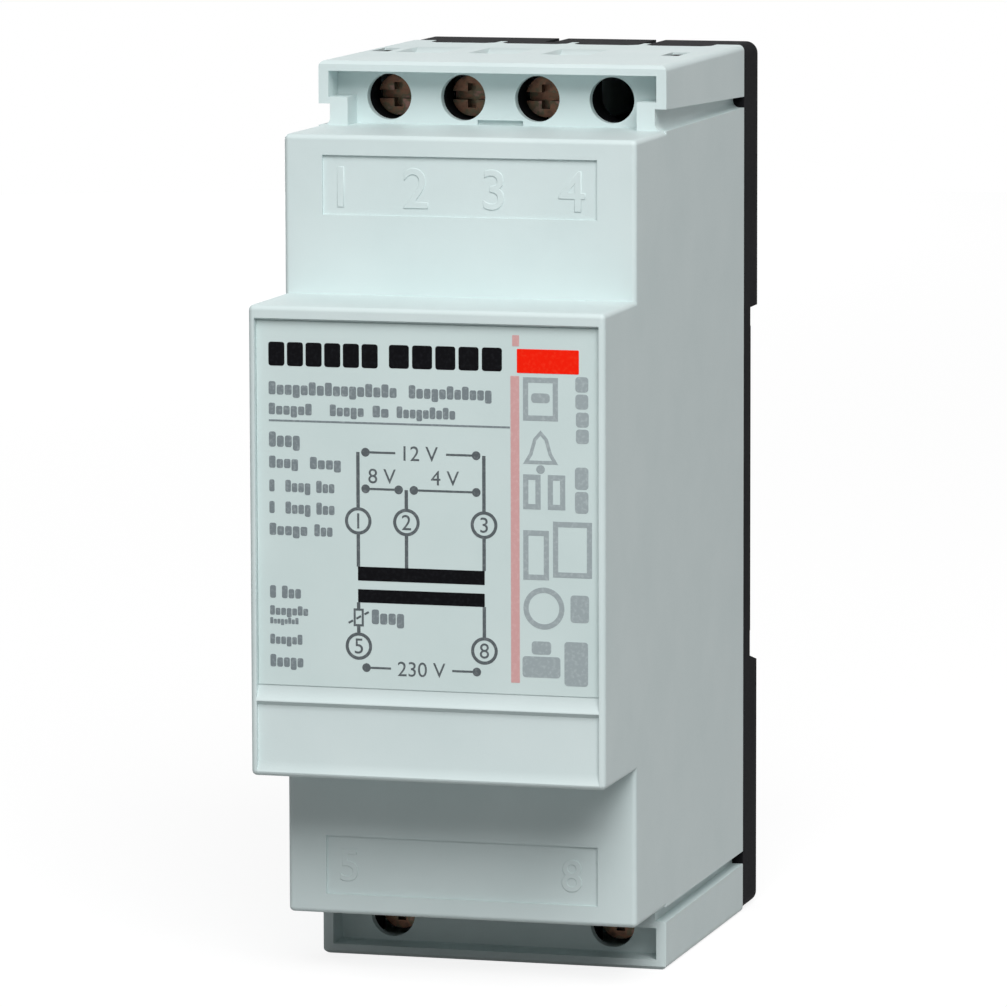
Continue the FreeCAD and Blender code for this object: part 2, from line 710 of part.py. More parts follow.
def base():
    """Black base with rail slot, hooks, shelves, tongues and latch channel."""
    pad_z = CORE_HALF_WIDTH - CORE_LEG / 2.0
    rim = block(
        INNER_HALF_WIDTH - RIM_CLEARANCE - RIM_WALL,
        INNER_HALF_WIDTH - RIM_CLEARANCE,
        -SHELL_BACK - RIM_REACH,
        -SHELL_BACK,
        -RIM_HALF_HEIGHT,
        RIM_HALF_HEIGHT,
    )
    half_post = PTC_POST_SIDE / 2.0
    post = block(
        PTC_PLACE - half_post,
        PTC_PLACE + half_post,
        PTC_BACK,
        -SHELL_BACK,
        PTC_HEIGHT - half_post,
        PTC_HEIGHT + half_post,
    )
    added = [base_plate(), post]
    added += both_sides(rim) + both_sides(core_pad(pad_z)) + both_sides(core_pad(-pad_z))
    added += both_sides(rail_hook(HOOK_PLACE))
    added += [snap_tongue(x) for x in UPPER_TONGUES]
    added += [upside_down(snap_tongue(x)) for x in LOWER_TONGUES]
    added.append(terminal_shelf(UPPER_TERMINALS, UPPER_CELLS))
    added.append(upside_down(terminal_shelf(LOWER_TERMINALS, LOWER_CELLS)))
    added += [plate_lug(x, 0.0) for x in UPPER_CELLS]
    added += [upside_down(plate_lug(x, 0.0)) for x in LOWER_CELLS]
    cuts = upper_pockets() + both_sides(lower_pocket()) + latch_channel()
    for x in NOTCH_PLACES:
        half = NOTCH_WIDTH / 2.0
        cuts.append(
            block(
                x - half, x + half, -SHELL_BACK, BASE_BACK, HALF_TOTAL - NOTCH_DEPTH, HALF_TOTAL
            )
        )
    return joined(added).cut(cuts).removeSplitter()


def rail_latch():
    """Slider with a sloped nose behind the rail's lower edge."""
    front = LATCH_CHANNEL_FLOOR + LATCH_CLEARANCE
    flange_back = front + LATCH_FLANGE_THICKNESS
    neck = LATCH_HALF - LATCH_FLANGE
    shoulder = -RAIL_SLOT_BOTTOM - RAIL_SLOT_LEAD_IN
    nose_top = -RAIL_SLOT_BOTTOM + LATCH_NOSE_REACH
    flange = block(-LATCH_HALF, LATCH_HALF, front, flange_back, LATCH_LOWER, shoulder)
    slider = prism_x(
        [
            (front, LATCH_LOWER),
            (BASE_BACK, LATCH_LOWER),
            (BASE_BACK, nose_top - LATCH_NOSE_SLOPE),
            (BASE_BACK - LATCH_NOSE_SLOPE, nose_top),
            (RAIL_GAP, nose_top),
            (RAIL_GAP, -RAIL_SLOT_BOTTOM),
            (front, -RAIL_SLOT_BOTTOM),
        ],
        -neck,
        neck,
    )
    reach = SPRING_ROOM - LATCH_CLEARANCE
    spur = block(
        -reach,
        reach,
        SPRING_FRONT,
        front,
        SPRING_UPPER + LATCH_CLEARANCE,
        SPRING_UPPER + LATCH_CLEARANCE + SPUR_HEIGHT,
    )
    half_pry = PRY_WIDTH / 2.0
    pry_low = LATCH_LOWER + PRY_FROM_BOTTOM
    pry = block(-half_pry, half_pry, flange_back, BASE_BACK, pry_low, pry_low + PRY_HEIGHT)
    return joined([slider, flange, spur]).cut(pry)


def latch_spring():
    """Folded strip spring that pushes the latch up, runs joined by round bends."""
    step = (SPRING_LENGTH - SPRING_STRIP) / (SPRING_RUNS - 1)
    outer = (step + SPRING_STRIP) / 2.0
    inner = outer - SPRING_STRIP
    reach = SPRING_WIDTH / 2.0 - outer
    pieces = []
    for run in range(SPRING_RUNS):
        low = SPRING_LOWER + run * step
        pieces.append(
            block(-reach, reach, SPRING_FRONT, SPRING_BACK, low, low + SPRING_STRIP)
        )
    for bend in range(SPRING_RUNS - 1):
        side = 1.0 if bend % 2 == 0 else -1.0
        middle = SPRING_LOWER + bend * step + outer
        ring = rod_y(side * reach, middle, outer, SPRING_FRONT, SPRING_BACK)
        hole = rod_y(side * reach, middle, inner, SPRING_FRONT, SPRING_BACK)
        ends = sorted((side * reach, side * (reach + outer)))
        half = block(
            ends[0], ends[1], SPRING_FRONT, SPRING_BACK, middle - outer, middle + outer
        )
        pieces.append(ring.cut(hole).common(half))
    return joined(pieces)


def core_e_stack():
    """Stack of E laminations, legs towards the front."""
    outer = CORE_HALF_WIDTH
    inner = 2.0 * CORE_LEG
    outline = [
        (CORE_BACK, -outer),
        (CORE_BACK, outer),
        (WINDOW_FRONT, outer),
        (WINDOW_FRONT, inner),
        (WINDOW_BACK, inner),
        (WINDOW_BACK, CORE_LEG),
        (WINDOW_FRONT, CORE_LEG),
        (WINDOW_FRONT, -CORE_LEG),
        (WINDOW_BACK, -CORE_LEG),
        (WINDOW_BACK, -inner),
        (WINDOW_FRONT, -inner),
        (WINDOW_FRONT, -outer),
    ]
    return prism_x(outline, -CORE_STACK / 2.0, CORE_STACK / 2.0)


def core_i_stack():
    """Stack of I laminations that closes the legs at the front."""
    half = CORE_STACK / 2.0
    return block(-half, half, CORE_FRONT, WINDOW_FRONT, -CORE_HALF_WIDTH, CORE_HALF_WIDTH)


def frame_y(inner_x, inner_z, outer_x, outer_z, y_low, y_high, corner):
    """Rectangular frame round the middle leg, with its outer corners cut off."""
    outer = block(-outer_x, outer_x, y_low, y_high, -outer_z, outer_z)
    if corner > 0.0:
        along = [edge for edge in outer.Edges if near(edge.CenterOfMass.y, (y_low + y_high) / 2.0)]
        outer = outer.makeChamfer(corner, along)
    return outer.cut(block(-inner_x, inner_x, y_low, y_high, -inner_z, inner_z))


def bobbin():
    """Coil former with a wall between its two chambers."""
    tube = frame_y(
        FORMER_INNER_X,
        FORMER_INNER_Z,
        FORMER_OUTER_X,
        FORMER_OUTER_Z,
        FORMER_FRONT,
        FORMER_BACK,
        0.0,
    )
    pieces = [tube]
    for front in (FORMER_FRONT, MIDDLE_FRONT, FORMER_BACK - FLANGE_WALL):
        pieces.append(
            frame_y(
                FORMER_INNER_X,
                FORMER_INNER_Z,
                FLANGE_X,
                FLANGE_Z,
                front,
                front + FLANGE_WALL,
                FLANGE_WALL,
            )
        )
    return joined(pieces)


def winding(y_low, y_high):
    """Wound copper in one chamber."""
    thick = WRAP_MARGIN + WRAP_THICKNESS + WINDING_GAP
    return frame_y(
        FORMER_OUTER_X + WINDING_GAP,
        FORMER_OUTER_Z + WINDING_GAP,
        FLANGE_X - thick,
        FLANGE_Z - thick,
        y_low + WINDING_GAP,
        y_high - WINDING_GAP,
        WINDING_CORNER,
    )


def wrap(y_low, y_high):
    """Insulating wrap round one winding."""
    outer_x = FLANGE_X - WRAP_MARGIN
    outer_z = FLANGE_Z - WRAP_MARGIN
    low = y_low + WINDING_GAP
    high = y_high - WINDING_GAP

    def sleeve(inset, corner):
        solid = block(
            -outer_x + inset, outer_x - inset, low, high, -outer_z + inset, outer_z - inset
        )
        along = [edge for edge in solid.Edges if near(edge.CenterOfMass.y, (low + high) / 2.0)]
        return solid.makeChamfer(corner, along)

    return sleeve(0.0, WINDING_CORNER).cut(sleeve(WRAP_THICKNESS, WINDING_CORNER))


def terminal_screw(x):
    """Slotted screw of one upper terminal, its tip at the contact bar."""
    head = rod_y(x, AXIS_Z, HEAD_DIAMETER / 2.0, HEAD_FRONT, HEAD_BACK)
    shank = rod_y(x, AXIS_Z, SHANK_DIAMETER / 2.0, HEAD_BACK, BAR_FRONT - TIP_CLEARANCE)
    floor = HEAD_FRONT + DRIVE_DEPTH
    half = DRIVE_WIDTH / 2.0
    reach = HEAD_DIAMETER / 2.0
    slot = block(x - reach, x + reach, HEAD_FRONT, floor, AXIS_Z - half, AXIS_Z + half)
    return joined([head, shank]).cut(slot)


def clamp_cage(x):
    """Rising cage of one upper terminal, in its open place."""
    half = CAGE_WIDTH / 2.0
    inner = CAGE_INNER / 2.0
    low = AXIS_Z - CAGE_HALF_HEIGHT
    high = AXIS_Z + CAGE_HALF_HEIGHT
    body = block(x - half, x + half, NUT_FRONT, CAGE_BACK, low, high)
    room = block(x - inner, x + inner, NUT_BACK, WIRE_BACK, low, high)
    bore = rod_y(x, AXIS_Z, SHANK_DIAMETER / 2.0 + THREAD_CLEARANCE, NUT_FRONT, NUT_BACK)
    return body.cut([room, bore])


def contact_bar(x):
    """Brass bar of one upper terminal, its shoulders on the shelf."""
    half = BAR_WIDTH / 2.0
    tail = BAR_TAIL_WIDTH / 2.0
    wide = half + BAR_SHOULDER_STEP
    top = AXIS_Z + CAGE_HALF_HEIGHT - BAR_TOP_GAP
    blade = block(x - half, x + half, BAR_FRONT, BAR_BACK, SHELF_BOTTOM, top)
    shoulder_top = SHELF_TOP + BAR_SHOULDER_HEIGHT
    shoulder = block(x - wide, x + wide, BAR_FRONT, BAR_BACK, SHELF_TOP, shoulder_top)
    end = block(x - tail, x + tail, BAR_FRONT, BAR_BACK, BAR_TAIL_END, SHELF_BOTTOM)
    return joined([blade, shoulder, end])


def ptc_disc():
    """Overheating protector on its post."""
    radius = PTC_DIAMETER / 2.0
    return rod_y(PTC_PLACE, PTC_HEIGHT, radius, PTC_BACK - PTC_THICKNESS, PTC_BACK)


def bent_lead(points):
    """Round lead along straight runs."""
    along = (points[1] - points[0]).normalize()
    section = Part.Wire(Part.makeCircle(LEAD_DIAMETER / 2.0, points[0], along))
    path = Part.makePolygon(points)
    return path.makePipeShell([section], True, False, 1)


def leads():
    """Every inner lead, from the contact bars to the windings."""
    start_z = BAR_TAIL_END - LEAD_CLEARANCE
    sloped_start = BAR_TAIL_END - LEAD_DIAMETER / 2.0
    end_z = WRAP_Z + LEAD_DIAMETER / 2.0
    secondary_y = (FORMER_FRONT + FLANGE_WALL + MIDDLE_FRONT) / 2.0
    over_core = CORE_HALF_WIDTH + LEAD_OVER_CORE
    ptc_left = PTC_PLACE - PTC_DIAMETER / 2.0 - LEAD_CLEARANCE
    ptc_right = PTC_PLACE + PTC_DIAMETER / 2.0 + LEAD_DIAMETER / 2.0
    step_y = BAR_MIDDLE - LEAD_STEP

    def past_core(x, side):
        return [
            Vector(x, BAR_MIDDLE, sloped_start),
            Vector(side * LEAD_X, step_y, over_core),
            Vector(side * LEAD_X, secondary_y - LEAD_STEP, end_z),
        ]

    outer = CELL_X[0]
    straight_down = [
        Vector(outer, BAR_MIDDLE, start_z),
        Vector(outer, BAR_MIDDLE, start_z - LEAD_DROP),
        Vector(outer, secondary_y + LEAD_STEP, end_z),
    ]
    to_protector = [
        Vector(outer, BAR_MIDDLE, -start_z),
        Vector(outer, BAR_MIDDLE, PTC_HEIGHT),
        Vector(ptc_left, BAR_MIDDLE, PTC_HEIGHT),
    ]
    from_protector = [
        Vector(ptc_right, BAR_MIDDLE, PTC_HEIGHT),
        Vector(LEAD_X, step_y, PTC_HEIGHT),
        Vector(LEAD_X, step_y, -WRAP_Z - LEAD_CLEARANCE),
    ]
    direct = [
        Vector(CELL_X[3], BAR_MIDDLE, -start_z),
        Vector(CELL_X[3], BAR_MIDDLE, -WRAP_Z - LEAD_CLEARANCE),
    ]
    return {
        "lead_1": bent_lead(straight_down),
        "lead_2": bent_lead(past_core(CELL_X[1], -1.0)),
        "lead_3": bent_lead(past_core(CELL_X[2], 1.0)),
        "lead_5": bent_lead(to_protector),
        "lead_6": bent_lead(from_protector),
        "lead_8": bent_lead(direct),
    }


def main():
    """Write every piece to its own file."""
    os.makedirs("parts", exist_ok=True)
    pieces = {
        "housing": housing(),
        "front_label": front_label(),
        "base": base(),
        "rail_latch": rail_latch(),
        "latch_spring": latch_spring(),
        "core_e_stack": core_e_stack(),
        "core_i_stack": core_i_stack(),
        "bobbin": bobbin(),
        "primary_winding": winding(MIDDLE_BACK, FORMER_BACK - FLANGE_WALL),
        "secondary_winding": winding(FORMER_FRONT + FLANGE_WALL, MIDDLE_FRONT),
        "primary_wrap": wrap(MIDDLE_BACK, FORMER_BACK - FLANGE_WALL),
        "secondary_wrap": wrap(FORMER_FRONT + FLANGE_WALL, MIDDLE_FRONT),
        "ptc_disc": ptc_disc(),
    }
    for name, x in UPPER_TERMINALS.items():
        pieces["terminal_screw_" + name] = terminal_screw(x)
        pieces["clamp_cage_" + name] = clamp_cage(x)
        pieces["contact_bar_" + name] = contact_bar(x)
    for name, x in LOWER_TERMINALS.items():
        pieces["terminal_screw_" + name] = upside_down(terminal_screw(x))
        pieces["clamp_cage_" + name] = upside_down(clamp_cage(x))
        pieces["contact_bar_" + name] = upside_down(contact_bar(x))
    pieces.update(leads())
    for name, shape in pieces.items():
        shape.exportStep("parts/" + name + ".step")


main()
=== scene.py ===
"""Looks of a two-module doorbell transformer: moulded shell, printed front, terminals, base and studio.

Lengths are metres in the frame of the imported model: X across the width, Y from the front to the rail, Z up.
"""
import logging
import math
from dataclasses import dataclass, field
from enum import Enum
from typing import Iterable, Sequence

import bmesh
import bpy
from mathutils import Matrix, Vector


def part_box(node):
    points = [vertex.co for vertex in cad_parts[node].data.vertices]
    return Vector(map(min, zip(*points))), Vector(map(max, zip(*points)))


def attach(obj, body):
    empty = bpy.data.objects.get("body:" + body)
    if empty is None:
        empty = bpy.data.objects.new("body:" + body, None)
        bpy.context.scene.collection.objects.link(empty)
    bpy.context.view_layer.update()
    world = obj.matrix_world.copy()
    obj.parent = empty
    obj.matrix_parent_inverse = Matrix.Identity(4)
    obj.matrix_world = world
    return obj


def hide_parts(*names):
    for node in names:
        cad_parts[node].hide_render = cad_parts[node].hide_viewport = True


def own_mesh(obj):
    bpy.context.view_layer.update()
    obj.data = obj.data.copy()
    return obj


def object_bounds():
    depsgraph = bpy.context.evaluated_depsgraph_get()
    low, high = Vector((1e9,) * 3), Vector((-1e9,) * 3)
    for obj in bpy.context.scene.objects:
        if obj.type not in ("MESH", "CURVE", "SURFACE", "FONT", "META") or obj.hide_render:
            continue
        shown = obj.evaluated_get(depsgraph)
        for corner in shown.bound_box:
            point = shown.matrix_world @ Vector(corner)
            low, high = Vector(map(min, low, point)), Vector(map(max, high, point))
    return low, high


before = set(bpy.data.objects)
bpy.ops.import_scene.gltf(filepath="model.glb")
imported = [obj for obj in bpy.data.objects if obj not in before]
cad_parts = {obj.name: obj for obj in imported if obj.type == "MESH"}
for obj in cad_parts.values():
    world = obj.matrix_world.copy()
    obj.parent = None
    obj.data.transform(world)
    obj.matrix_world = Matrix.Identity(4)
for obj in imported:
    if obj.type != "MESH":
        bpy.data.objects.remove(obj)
CAD_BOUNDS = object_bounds()

LOG = logging.getLogger("doorbell_transformer")
MM = 0.001
CASE = "case"
TERMINALS = ("1", "2", "3", "5", "8")
# A flat shape drawn in X and Y stands up to face the viewer of the front
STAND_UP = Matrix.Rotation(math.radians(90.0), 4, "X")
# Corners nearer to each other than this are joined, on most pieces and on figures and cut heads
JOIN = 0.001 * MM
COARSE_JOIN = 0.002 * MM
# Largest turn that still counts as round, on moulded or turned pieces and on thin sheet
ROUND_LIMIT = math.radians(32.0)
SHEET_ROUND_LIMIT = math.radians(40.0)
# A face is upright while its normal rises less than this
UPRIGHT = 0.5
# Values that a cloudy pattern seldom passes
HOLLOW = 0.3
PEAK = 0.7
# One period of the wave texture in its own coordinate
WAVE_PERIOD = 2.0 * math.pi / 20.0

Colour = tuple[float, float, float, float]
# Left, right, low and high edge in millimetres
Box = tuple[float, float, float, float]


def srgb(red: int, green: int, blue: int) -> Colour:
    """Turns a screen colour into the linear colour that a shader takes.

    Args:
        red: Red from 0 to 255.
        green: Green from 0 to 255.
        blue: Blue from 0 to 255.

    Returns:
        Linear red, green, blue and a full alpha.
    """
    def linear(value: int) -> float:
        """Undoes the screen's curve for one channel."""
        share = value / 255.0
        return share / 12.92 if share <= 0.04045 else ((share + 0.055) / 1.055) ** 2.4

    return (linear(red), linear(green), linear(blue), 1.0)


def grey(value: float) -> Colour:
    """Sets a grey for a shader.

    Args:
        value: Linear value of each channel.

    Returns:
        Linear red, green, blue and a full alpha.
    """
    return (value, value, value, 1.0)


class Slot(Enum):
    """Material slots of the record, by the piece that they finish."""

    HOUSING = "housing_plastic"
    PRINT = "label_print"
    BASE = "base_plastic"
    SCREW = "screw_zinc"
    LATCH = "latch_plastic"
    SPRING = "spring_steel"


class Bands(Enum):
    """Direction that a banded texture changes along."""

    ACROSS = "X"
    DEEP = "Y"


class NodeSheet:
    """A material's node tree, with short calls for the nodes that the finishes share."""

    def __init__(self, name: str) -> None:
        """Starts a material with its shader and the object's own coordinates.

        Args:
            name: Name of the material.
        """
        self.material = bpy.data.materials.new(name)
        self.material.use_nodes = True
        tree = self.material.node_tree
        self.nodes = tree.nodes
        self.links = tree.links
        self.shader = self.nodes["Principled BSDF"]
        self.place = self.nodes.new("ShaderNodeTexCoord").outputs["Object"]

    def constants(self, values: dict[str, float]) -> None:
        """Sets numbers that are the same all over the surface on the shader itself.

        Args:
            values: Number for each named socket of the shader.
        """
        for socket, value in values.items():
            self.shader.inputs[socket].default_value = value

    def noise(self, size: float, detail: float, stretch: Vector | None = None) -> bpy.types.NodeSocket:
        """Adds a cloudy pattern.

        Args:
            size: Rough width of one cloud.
            detail: How many finer clouds lie on the large ones.
            stretch: Factor on each axis, where the clouds are drawn out.

        Returns:
            The pattern's value, about 0.5 on average.
        """
        node = self.nodes.new("ShaderNodeTexNoise")
        node.inputs["Scale"].default_value = 1.0 / size
        node.inputs["Detail"].default_value = detail
        place = self.place
        if stretch is not None:
            mapping = self.nodes.new("ShaderNodeMapping")
            mapping.inputs["Scale"].default_value = stretch
            self.links.new(place, mapping.inputs["Vector"])
            place = mapping.outputs["Vector"]
        self.links.new(place, node.inputs["Vector"])
        return node.outputs["Fac"]

    def bands(self, pitch: float, along: Bands) -> bpy.types.NodeSocket:
        """Adds even round bands, as wound wire and stacked sheet show.

        Args:
            pitch: Distance from one band to the next.
            along: Direction that the bands follow each other in.

        Returns:
            The pattern's value from 0 to 1.
        """
        node = self.nodes.new("ShaderNodeTexWave")
        node.bands_direction = along.value
        node.inputs["Scale"].default_value = WAVE_PERIOD / pitch
        self.links.new(self.place, node.inputs["Vector"])
        return node.outputs["Fac"]

    def colours(self, factor: bpy.types.NodeSocket, stops: Sequence[tuple[float, Colour]]) -> None:
        """Colours the surface by a pattern.

        Args:
            factor: Pattern that picks the colour.
            stops: Colours and the values that they stand at.
        """
        ramp = self.nodes.new("ShaderNodeValToRGB")
        elements = ramp.color_ramp.elements
        while len(elements) < len(stops):
            elements.new(PEAK)
        for element, (position, colour) in zip(elements, stops):
            element.position = position
            element.color = colour
        self.links.new(factor, ramp.inputs["Fac"])
        self.links.new(ramp.outputs["Color"], self.shader.inputs["Base Color"])

    def roughness(self, factor: bpy.types.NodeSocket, low: float, high: float) -> None:
        """Varies the roughness by a pattern.

        Args:
            factor: Pattern that picks the roughness.
            low: Roughness in the pattern's hollows.
            high: Roughness on the pattern's peaks.
        """
        node = self.nodes.new("ShaderNodeMapRange")
        limits = {"From Min": HOLLOW, "From Max": PEAK, "To Min": low, "To Max": high}
        for socket, value in limits.items():
            node.inputs[socket].default_value = value
        self.links.new(factor, node.inputs["Value"])
        self.links.new(node.outputs["Result"], self.shader.inputs["Roughness"])

    def relief(self, layers: Iterable[tuple[bpy.types.NodeSocket, float]]) -> None:
        """Adds surface relief, one layer on another.

        Args:
            layers: Patterns and the height of each from hollow to peak.
        """
        normal = None
        for pattern, height in layers:
            bump = self.nodes.new("ShaderNodeBump")
            bump.inputs["Distance"].default_value = height
            self.links.new(pattern, bump.inputs["Height"])
            if normal is not None:
                self.links.new(normal, bump.inputs["Normal"])
            normal = bump.outputs["Normal"]
        self.links.new(normal, self.shader.inputs["Normal"])


@dataclass(frozen=True)
class MouldedPlastic:
    """Injection-moulded plastic with a fine spark-eroded grain and slow sink marks."""

    name: str
    colour: Colour
    shade: Colour
    roughness: tuple[float, float] = (0.38, 0.5)
    grain: float = 0.16 * MM
    grain_height: float = 0.004 * MM
    sink: float = 9.0 * MM
    sink_height: float = 0.02 * MM
    gloss: float = 0.45

    def make(self) -> bpy.types.Material:
        """Builds the finish and returns its material."""
        sheet = NodeSheet(self.name)
        sheet.constants({"Specular IOR Level": self.gloss})
        cloud = sheet.noise(self.sink, detail=3.0)
        grain = sheet.noise(self.grain, detail=1.0)
        sheet.colours(cloud, ((HOLLOW, self.shade), (PEAK, self.colour)))
        sheet.roughness(grain, *self.roughness)
        sheet.relief(((cloud, self.sink_height), (grain, self.grain_height)))
        return sheet.material


@dataclass(frozen=True)
class PrintInk:
    """Pad-printed ink with a slightly uneven cover."""

    name: str
    colour: Colour
    thin: Colour
    roughness: tuple[float, float] = (0.6, 0.72)
    mottle: float = 0.35 * MM
    mottle_height: float = 0.002 * MM
    thin_below: float = 0.32
    full_from: float = 0.5
    gloss: float = 0.06

    def make(self) -> bpy.types.Material:
        """Builds the finish and returns its material."""
        sheet = NodeSheet(self.name)
        sheet.constants({"Specular IOR Level": self.gloss})
        mottle = sheet.noise(self.mottle, detail=4.0)
        sheet.colours(mottle, ((self.thin_below, self.thin), (self.full_from, self.colour)))
        sheet.roughness(mottle, *self.roughness)
        sheet.relief(((mottle, self.mottle_height),))
        return sheet.material


@dataclass(frozen=True)
class PlatedMetal:
    """Pressed or turned metal with a plated skin, stained in soft patches and finely scratched; its colour stops may
    also carry painted shade.
    """

    name: str
    stops: tuple[tuple[float, Colour], ...]
    roughness: tuple[float, float]
    patch: float = 1.1 * MM
    scratch: float = 0.08 * MM
    scratch_height: float = 0.004 * MM
    scratch_stretch: tuple[float, float, float] = (0.12, 1.0, 1.0)

    def make(self) -> bpy.types.Material:
        """Builds the finish and returns its material."""
        sheet = NodeSheet(self.name)
        sheet.constants({"Metallic": 1.0})
        patch = sheet.noise(self.patch, detail=3.0)
        scratch = sheet.noise(self.scratch, detail=2.0, stretch=Vector(self.scratch_stretch))
        # Patches pick among the stops; on the screws every stop is also darkened as painted shade
        sheet.colours(patch, self.stops)
        sheet.roughness(scratch, *self.roughness)
        sheet.relief(((patch, self.scratch_height), (scratch, self.scratch_height)))
        return sheet.material


@dataclass(frozen=True)
class BandedMetal:
    """Metal laid in even turns or sheets, such as wound wire or stacked laminations."""

    name: str
    groove: Colour
    crest: Colour
    pitch: float
    along: Bands
    roughness: tuple[float, float]
    metallic: float = 1.0
    coat: float = 0.0
    groove_depth: float = 0.06 * MM
    groove_below: float = 0.05
    crest_from: float = 0.45
    haze: float = 2.0 * MM
    haze_height: float = 0.012 * MM

    def make(self) -> bpy.types.Material:
        """Builds the finish and returns its material."""
        sheet = NodeSheet(self.name)
        sheet.constants({"Metallic": self.metallic, "Coat Weight": self.coat})
        turns = sheet.bands(self.pitch, self.along)
        haze = sheet.noise(self.haze, detail=3.0)
        sheet.colours(turns, ((self.groove_below, self.groove), (self.crest_from, self.crest)))
        sheet.roughness(haze, *self.roughness)
        sheet.relief(((turns, self.groove_depth), (haze, self.haze_height)))
        return sheet.material


HOUSING_GREY = MouldedPlastic(
    "housing_grey_plastic", srgb(210, 223, 223), srgb(205, 219, 219), roughness=(0.42, 0.54), gloss=0.25,
)
LABEL_FACE = MouldedPlastic(
    "label_pale_print", srgb(206, 221, 220), srgb(201, 217, 216),
    roughness=(0.46, 0.56), grain=0.3 * MM, grain_height=0.0015 * MM, sink_height=0.008 * MM, gloss=0.35,
)
BASE_BLACK = MouldedPlastic(
    "base_black_plastic", srgb(28, 28, 30), srgb(23, 23, 25), roughness=(0.6, 0.72),
    grain_height=0.008 * MM, gloss=0.015,
)
LATCH_BLACK = MouldedPlastic(
    "latch_black_plastic", srgb(36, 36, 38), srgb(31, 31, 33), roughness=(0.36, 0.48), grain=0.22 * MM, gloss=0.1,
)
FORMER_NYLON = MouldedPlastic(
    "former_natural_nylon", srgb(226, 221, 204), srgb(214, 208, 189), roughness=(0.3, 0.42), gloss=0.5,
)
WRAP_FILM = MouldedPlastic(
    "wrap_yellow_film", srgb(233, 196, 72), srgb(221, 178, 52), roughness=(0.16, 0.3), sink=3.0 * MM,
    sink_height=0.05 * MM, gloss=0.55,
)
PROTECTOR_CERAMIC = MouldedPlastic(
    "protector_brown_coat", srgb(139, 74, 43), srgb(118, 58, 33), roughness=(0.2, 0.34), grain=0.5 * MM,
)
LEAD_WHITE = MouldedPlastic(
    "lead_white_sleeve", srgb(232, 232, 226), srgb(220, 220, 212), roughness=(0.34, 0.44), grain_height=0.002 * MM,
)
LEAD_BLUE = MouldedPlastic(
    "lead_blue_sleeve", srgb(46, 86, 158), srgb(36, 72, 140), roughness=(0.34, 0.44), grain_height=0.002 * MM,
)
INK_BLACK = PrintInk("ink_black", srgb(9, 9, 12), srgb(20, 21, 24))
INK_DARK_GREY = PrintInk("ink_dark_grey", srgb(92, 99, 102), srgb(112, 119, 122))
INK_GREY = PrintInk("ink_grey", srgb(124, 134, 138), srgb(146, 156, 159))
INK_PALE_GREY = PrintInk("ink_pale_grey", srgb(158, 169, 172), srgb(172, 183, 185))
INK_RED = PrintInk("ink_red", srgb(250, 32, 8), srgb(250, 48, 24))
INK_PINK = PrintInk("ink_pink", srgb(210, 163, 162), srgb(214, 172, 171))
# Yellow zinc's mottled brown, pink and green tones with painted shade: every stop is darkened so the heads look
# shaded deep in their holes
SCREW_ZINC_AND_SHADE = PlatedMetal(
    "screw_yellow_zinc_and_painted_shade",
    ((HOLLOW, srgb(72, 59, 50)), (0.45, srgb(104, 76, 62)), (0.58, srgb(76, 75, 61)), (PEAK, srgb(118, 90, 83))),
    (0.28, 0.46),
)
CAGE_ZINC = PlatedMetal(
    "cage_bright_zinc", ((HOLLOW, srgb(170, 172, 174)), (PEAK, srgb(198, 200, 202))), (0.24, 0.4),
    scratch_stretch=(1.0, 0.1, 1.0),
)
CONTACT_BRASS = PlatedMetal(
    "contact_brass", ((HOLLOW, srgb(186, 150, 78)), (PEAK, srgb(208, 174, 98))), (0.2, 0.36),
    scratch_stretch=(1.0, 1.0, 0.1),
)
SPRING_STEEL = PlatedMetal(
    "spring_steel", ((HOLLOW, srgb(128, 130, 134)), (PEAK, srgb(158, 160, 164))), (0.22, 0.38),
)
CORE_STEEL = BandedMetal(
    "core_laminations", srgb(52, 50, 50), srgb(118, 120, 124), 0.5 * MM, Bands.ACROSS, (0.36, 0.55),
)
WINDING_COPPER = BandedMetal(
    "winding_enamelled_copper", srgb(92, 40, 20), srgb(188, 98, 54), 0.32 * MM, Bands.DEEP, (0.2, 0.34), coat=0.5,
)


def in_metres(lengths: Iterable[float]) -> tuple[float, ...]:
    """Turns millimetres into metres.

    Args:
        lengths: Lengths in millimetres.

    Returns:
        The same lengths in metres.
    """
    return tuple(length * MM for length in lengths)


def only(kind: type, items: Iterable) -> list:
    """Picks the elements of one kind from what a mesh operator made.

    Args:
        kind: Kind of the elements.
        items: Elements that the operator returned.

    Returns:
        The corners, edges or faces, in their order.
    """
    return [item for item in items if isinstance(item, kind)]


def smooth_by_angle(bm: bmesh.types.BMesh, limit: float) -> None:
    """Shades round stretches smooth and keeps the corners crisp.

    Args:
        bm: Mesh to shade.
        limit: Largest turn, in radians, that still counts as round.
    """
    for face in bm.faces:
        face.smooth = True
    for edge in bm.edges:
        edge.smooth = edge.is_manifold and edge.calc_face_angle() < limit


def keep_piece(
    bm: bmesh.types.BMesh, name: str, body: str, finish: bpy.types.Material,
) -> bpy.types.Object:
    """Turns a finished mesh into a piece that rides on a body.

    Args:
        bm: Finished mesh, which is freed.
        name: Name of the piece.
        body: Body that carries the piece.
        finish: Material of the piece.

    Returns:
        The new object, at the origin with its place in its mesh.
    """
    mesh = bpy.data.meshes.new(name)
    bm.to_mesh(mesh)
    bm.free()
    mesh.materials.append(finish)
    piece = bpy.data.objects.new(name, mesh)
    bpy.context.scene.collection.objects.link(piece)
    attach(piece, body)
    LOG.info("%s rides on %s, %d faces", name, body, len(mesh.polygons))
    return piece


def keep_flats(piece: bpy.types.Object) -> None:
    """Weighs the shading by area, so that a large flat stays flat beside a small round.

    Args:
        piece: Piece whose round edges are shaded smooth.
    """
    shading = piece.modifiers.new("flats_kept", "WEIGHTED_NORMAL")
    shading.mode = "FACE_AREA"
    shading.keep_sharp = True


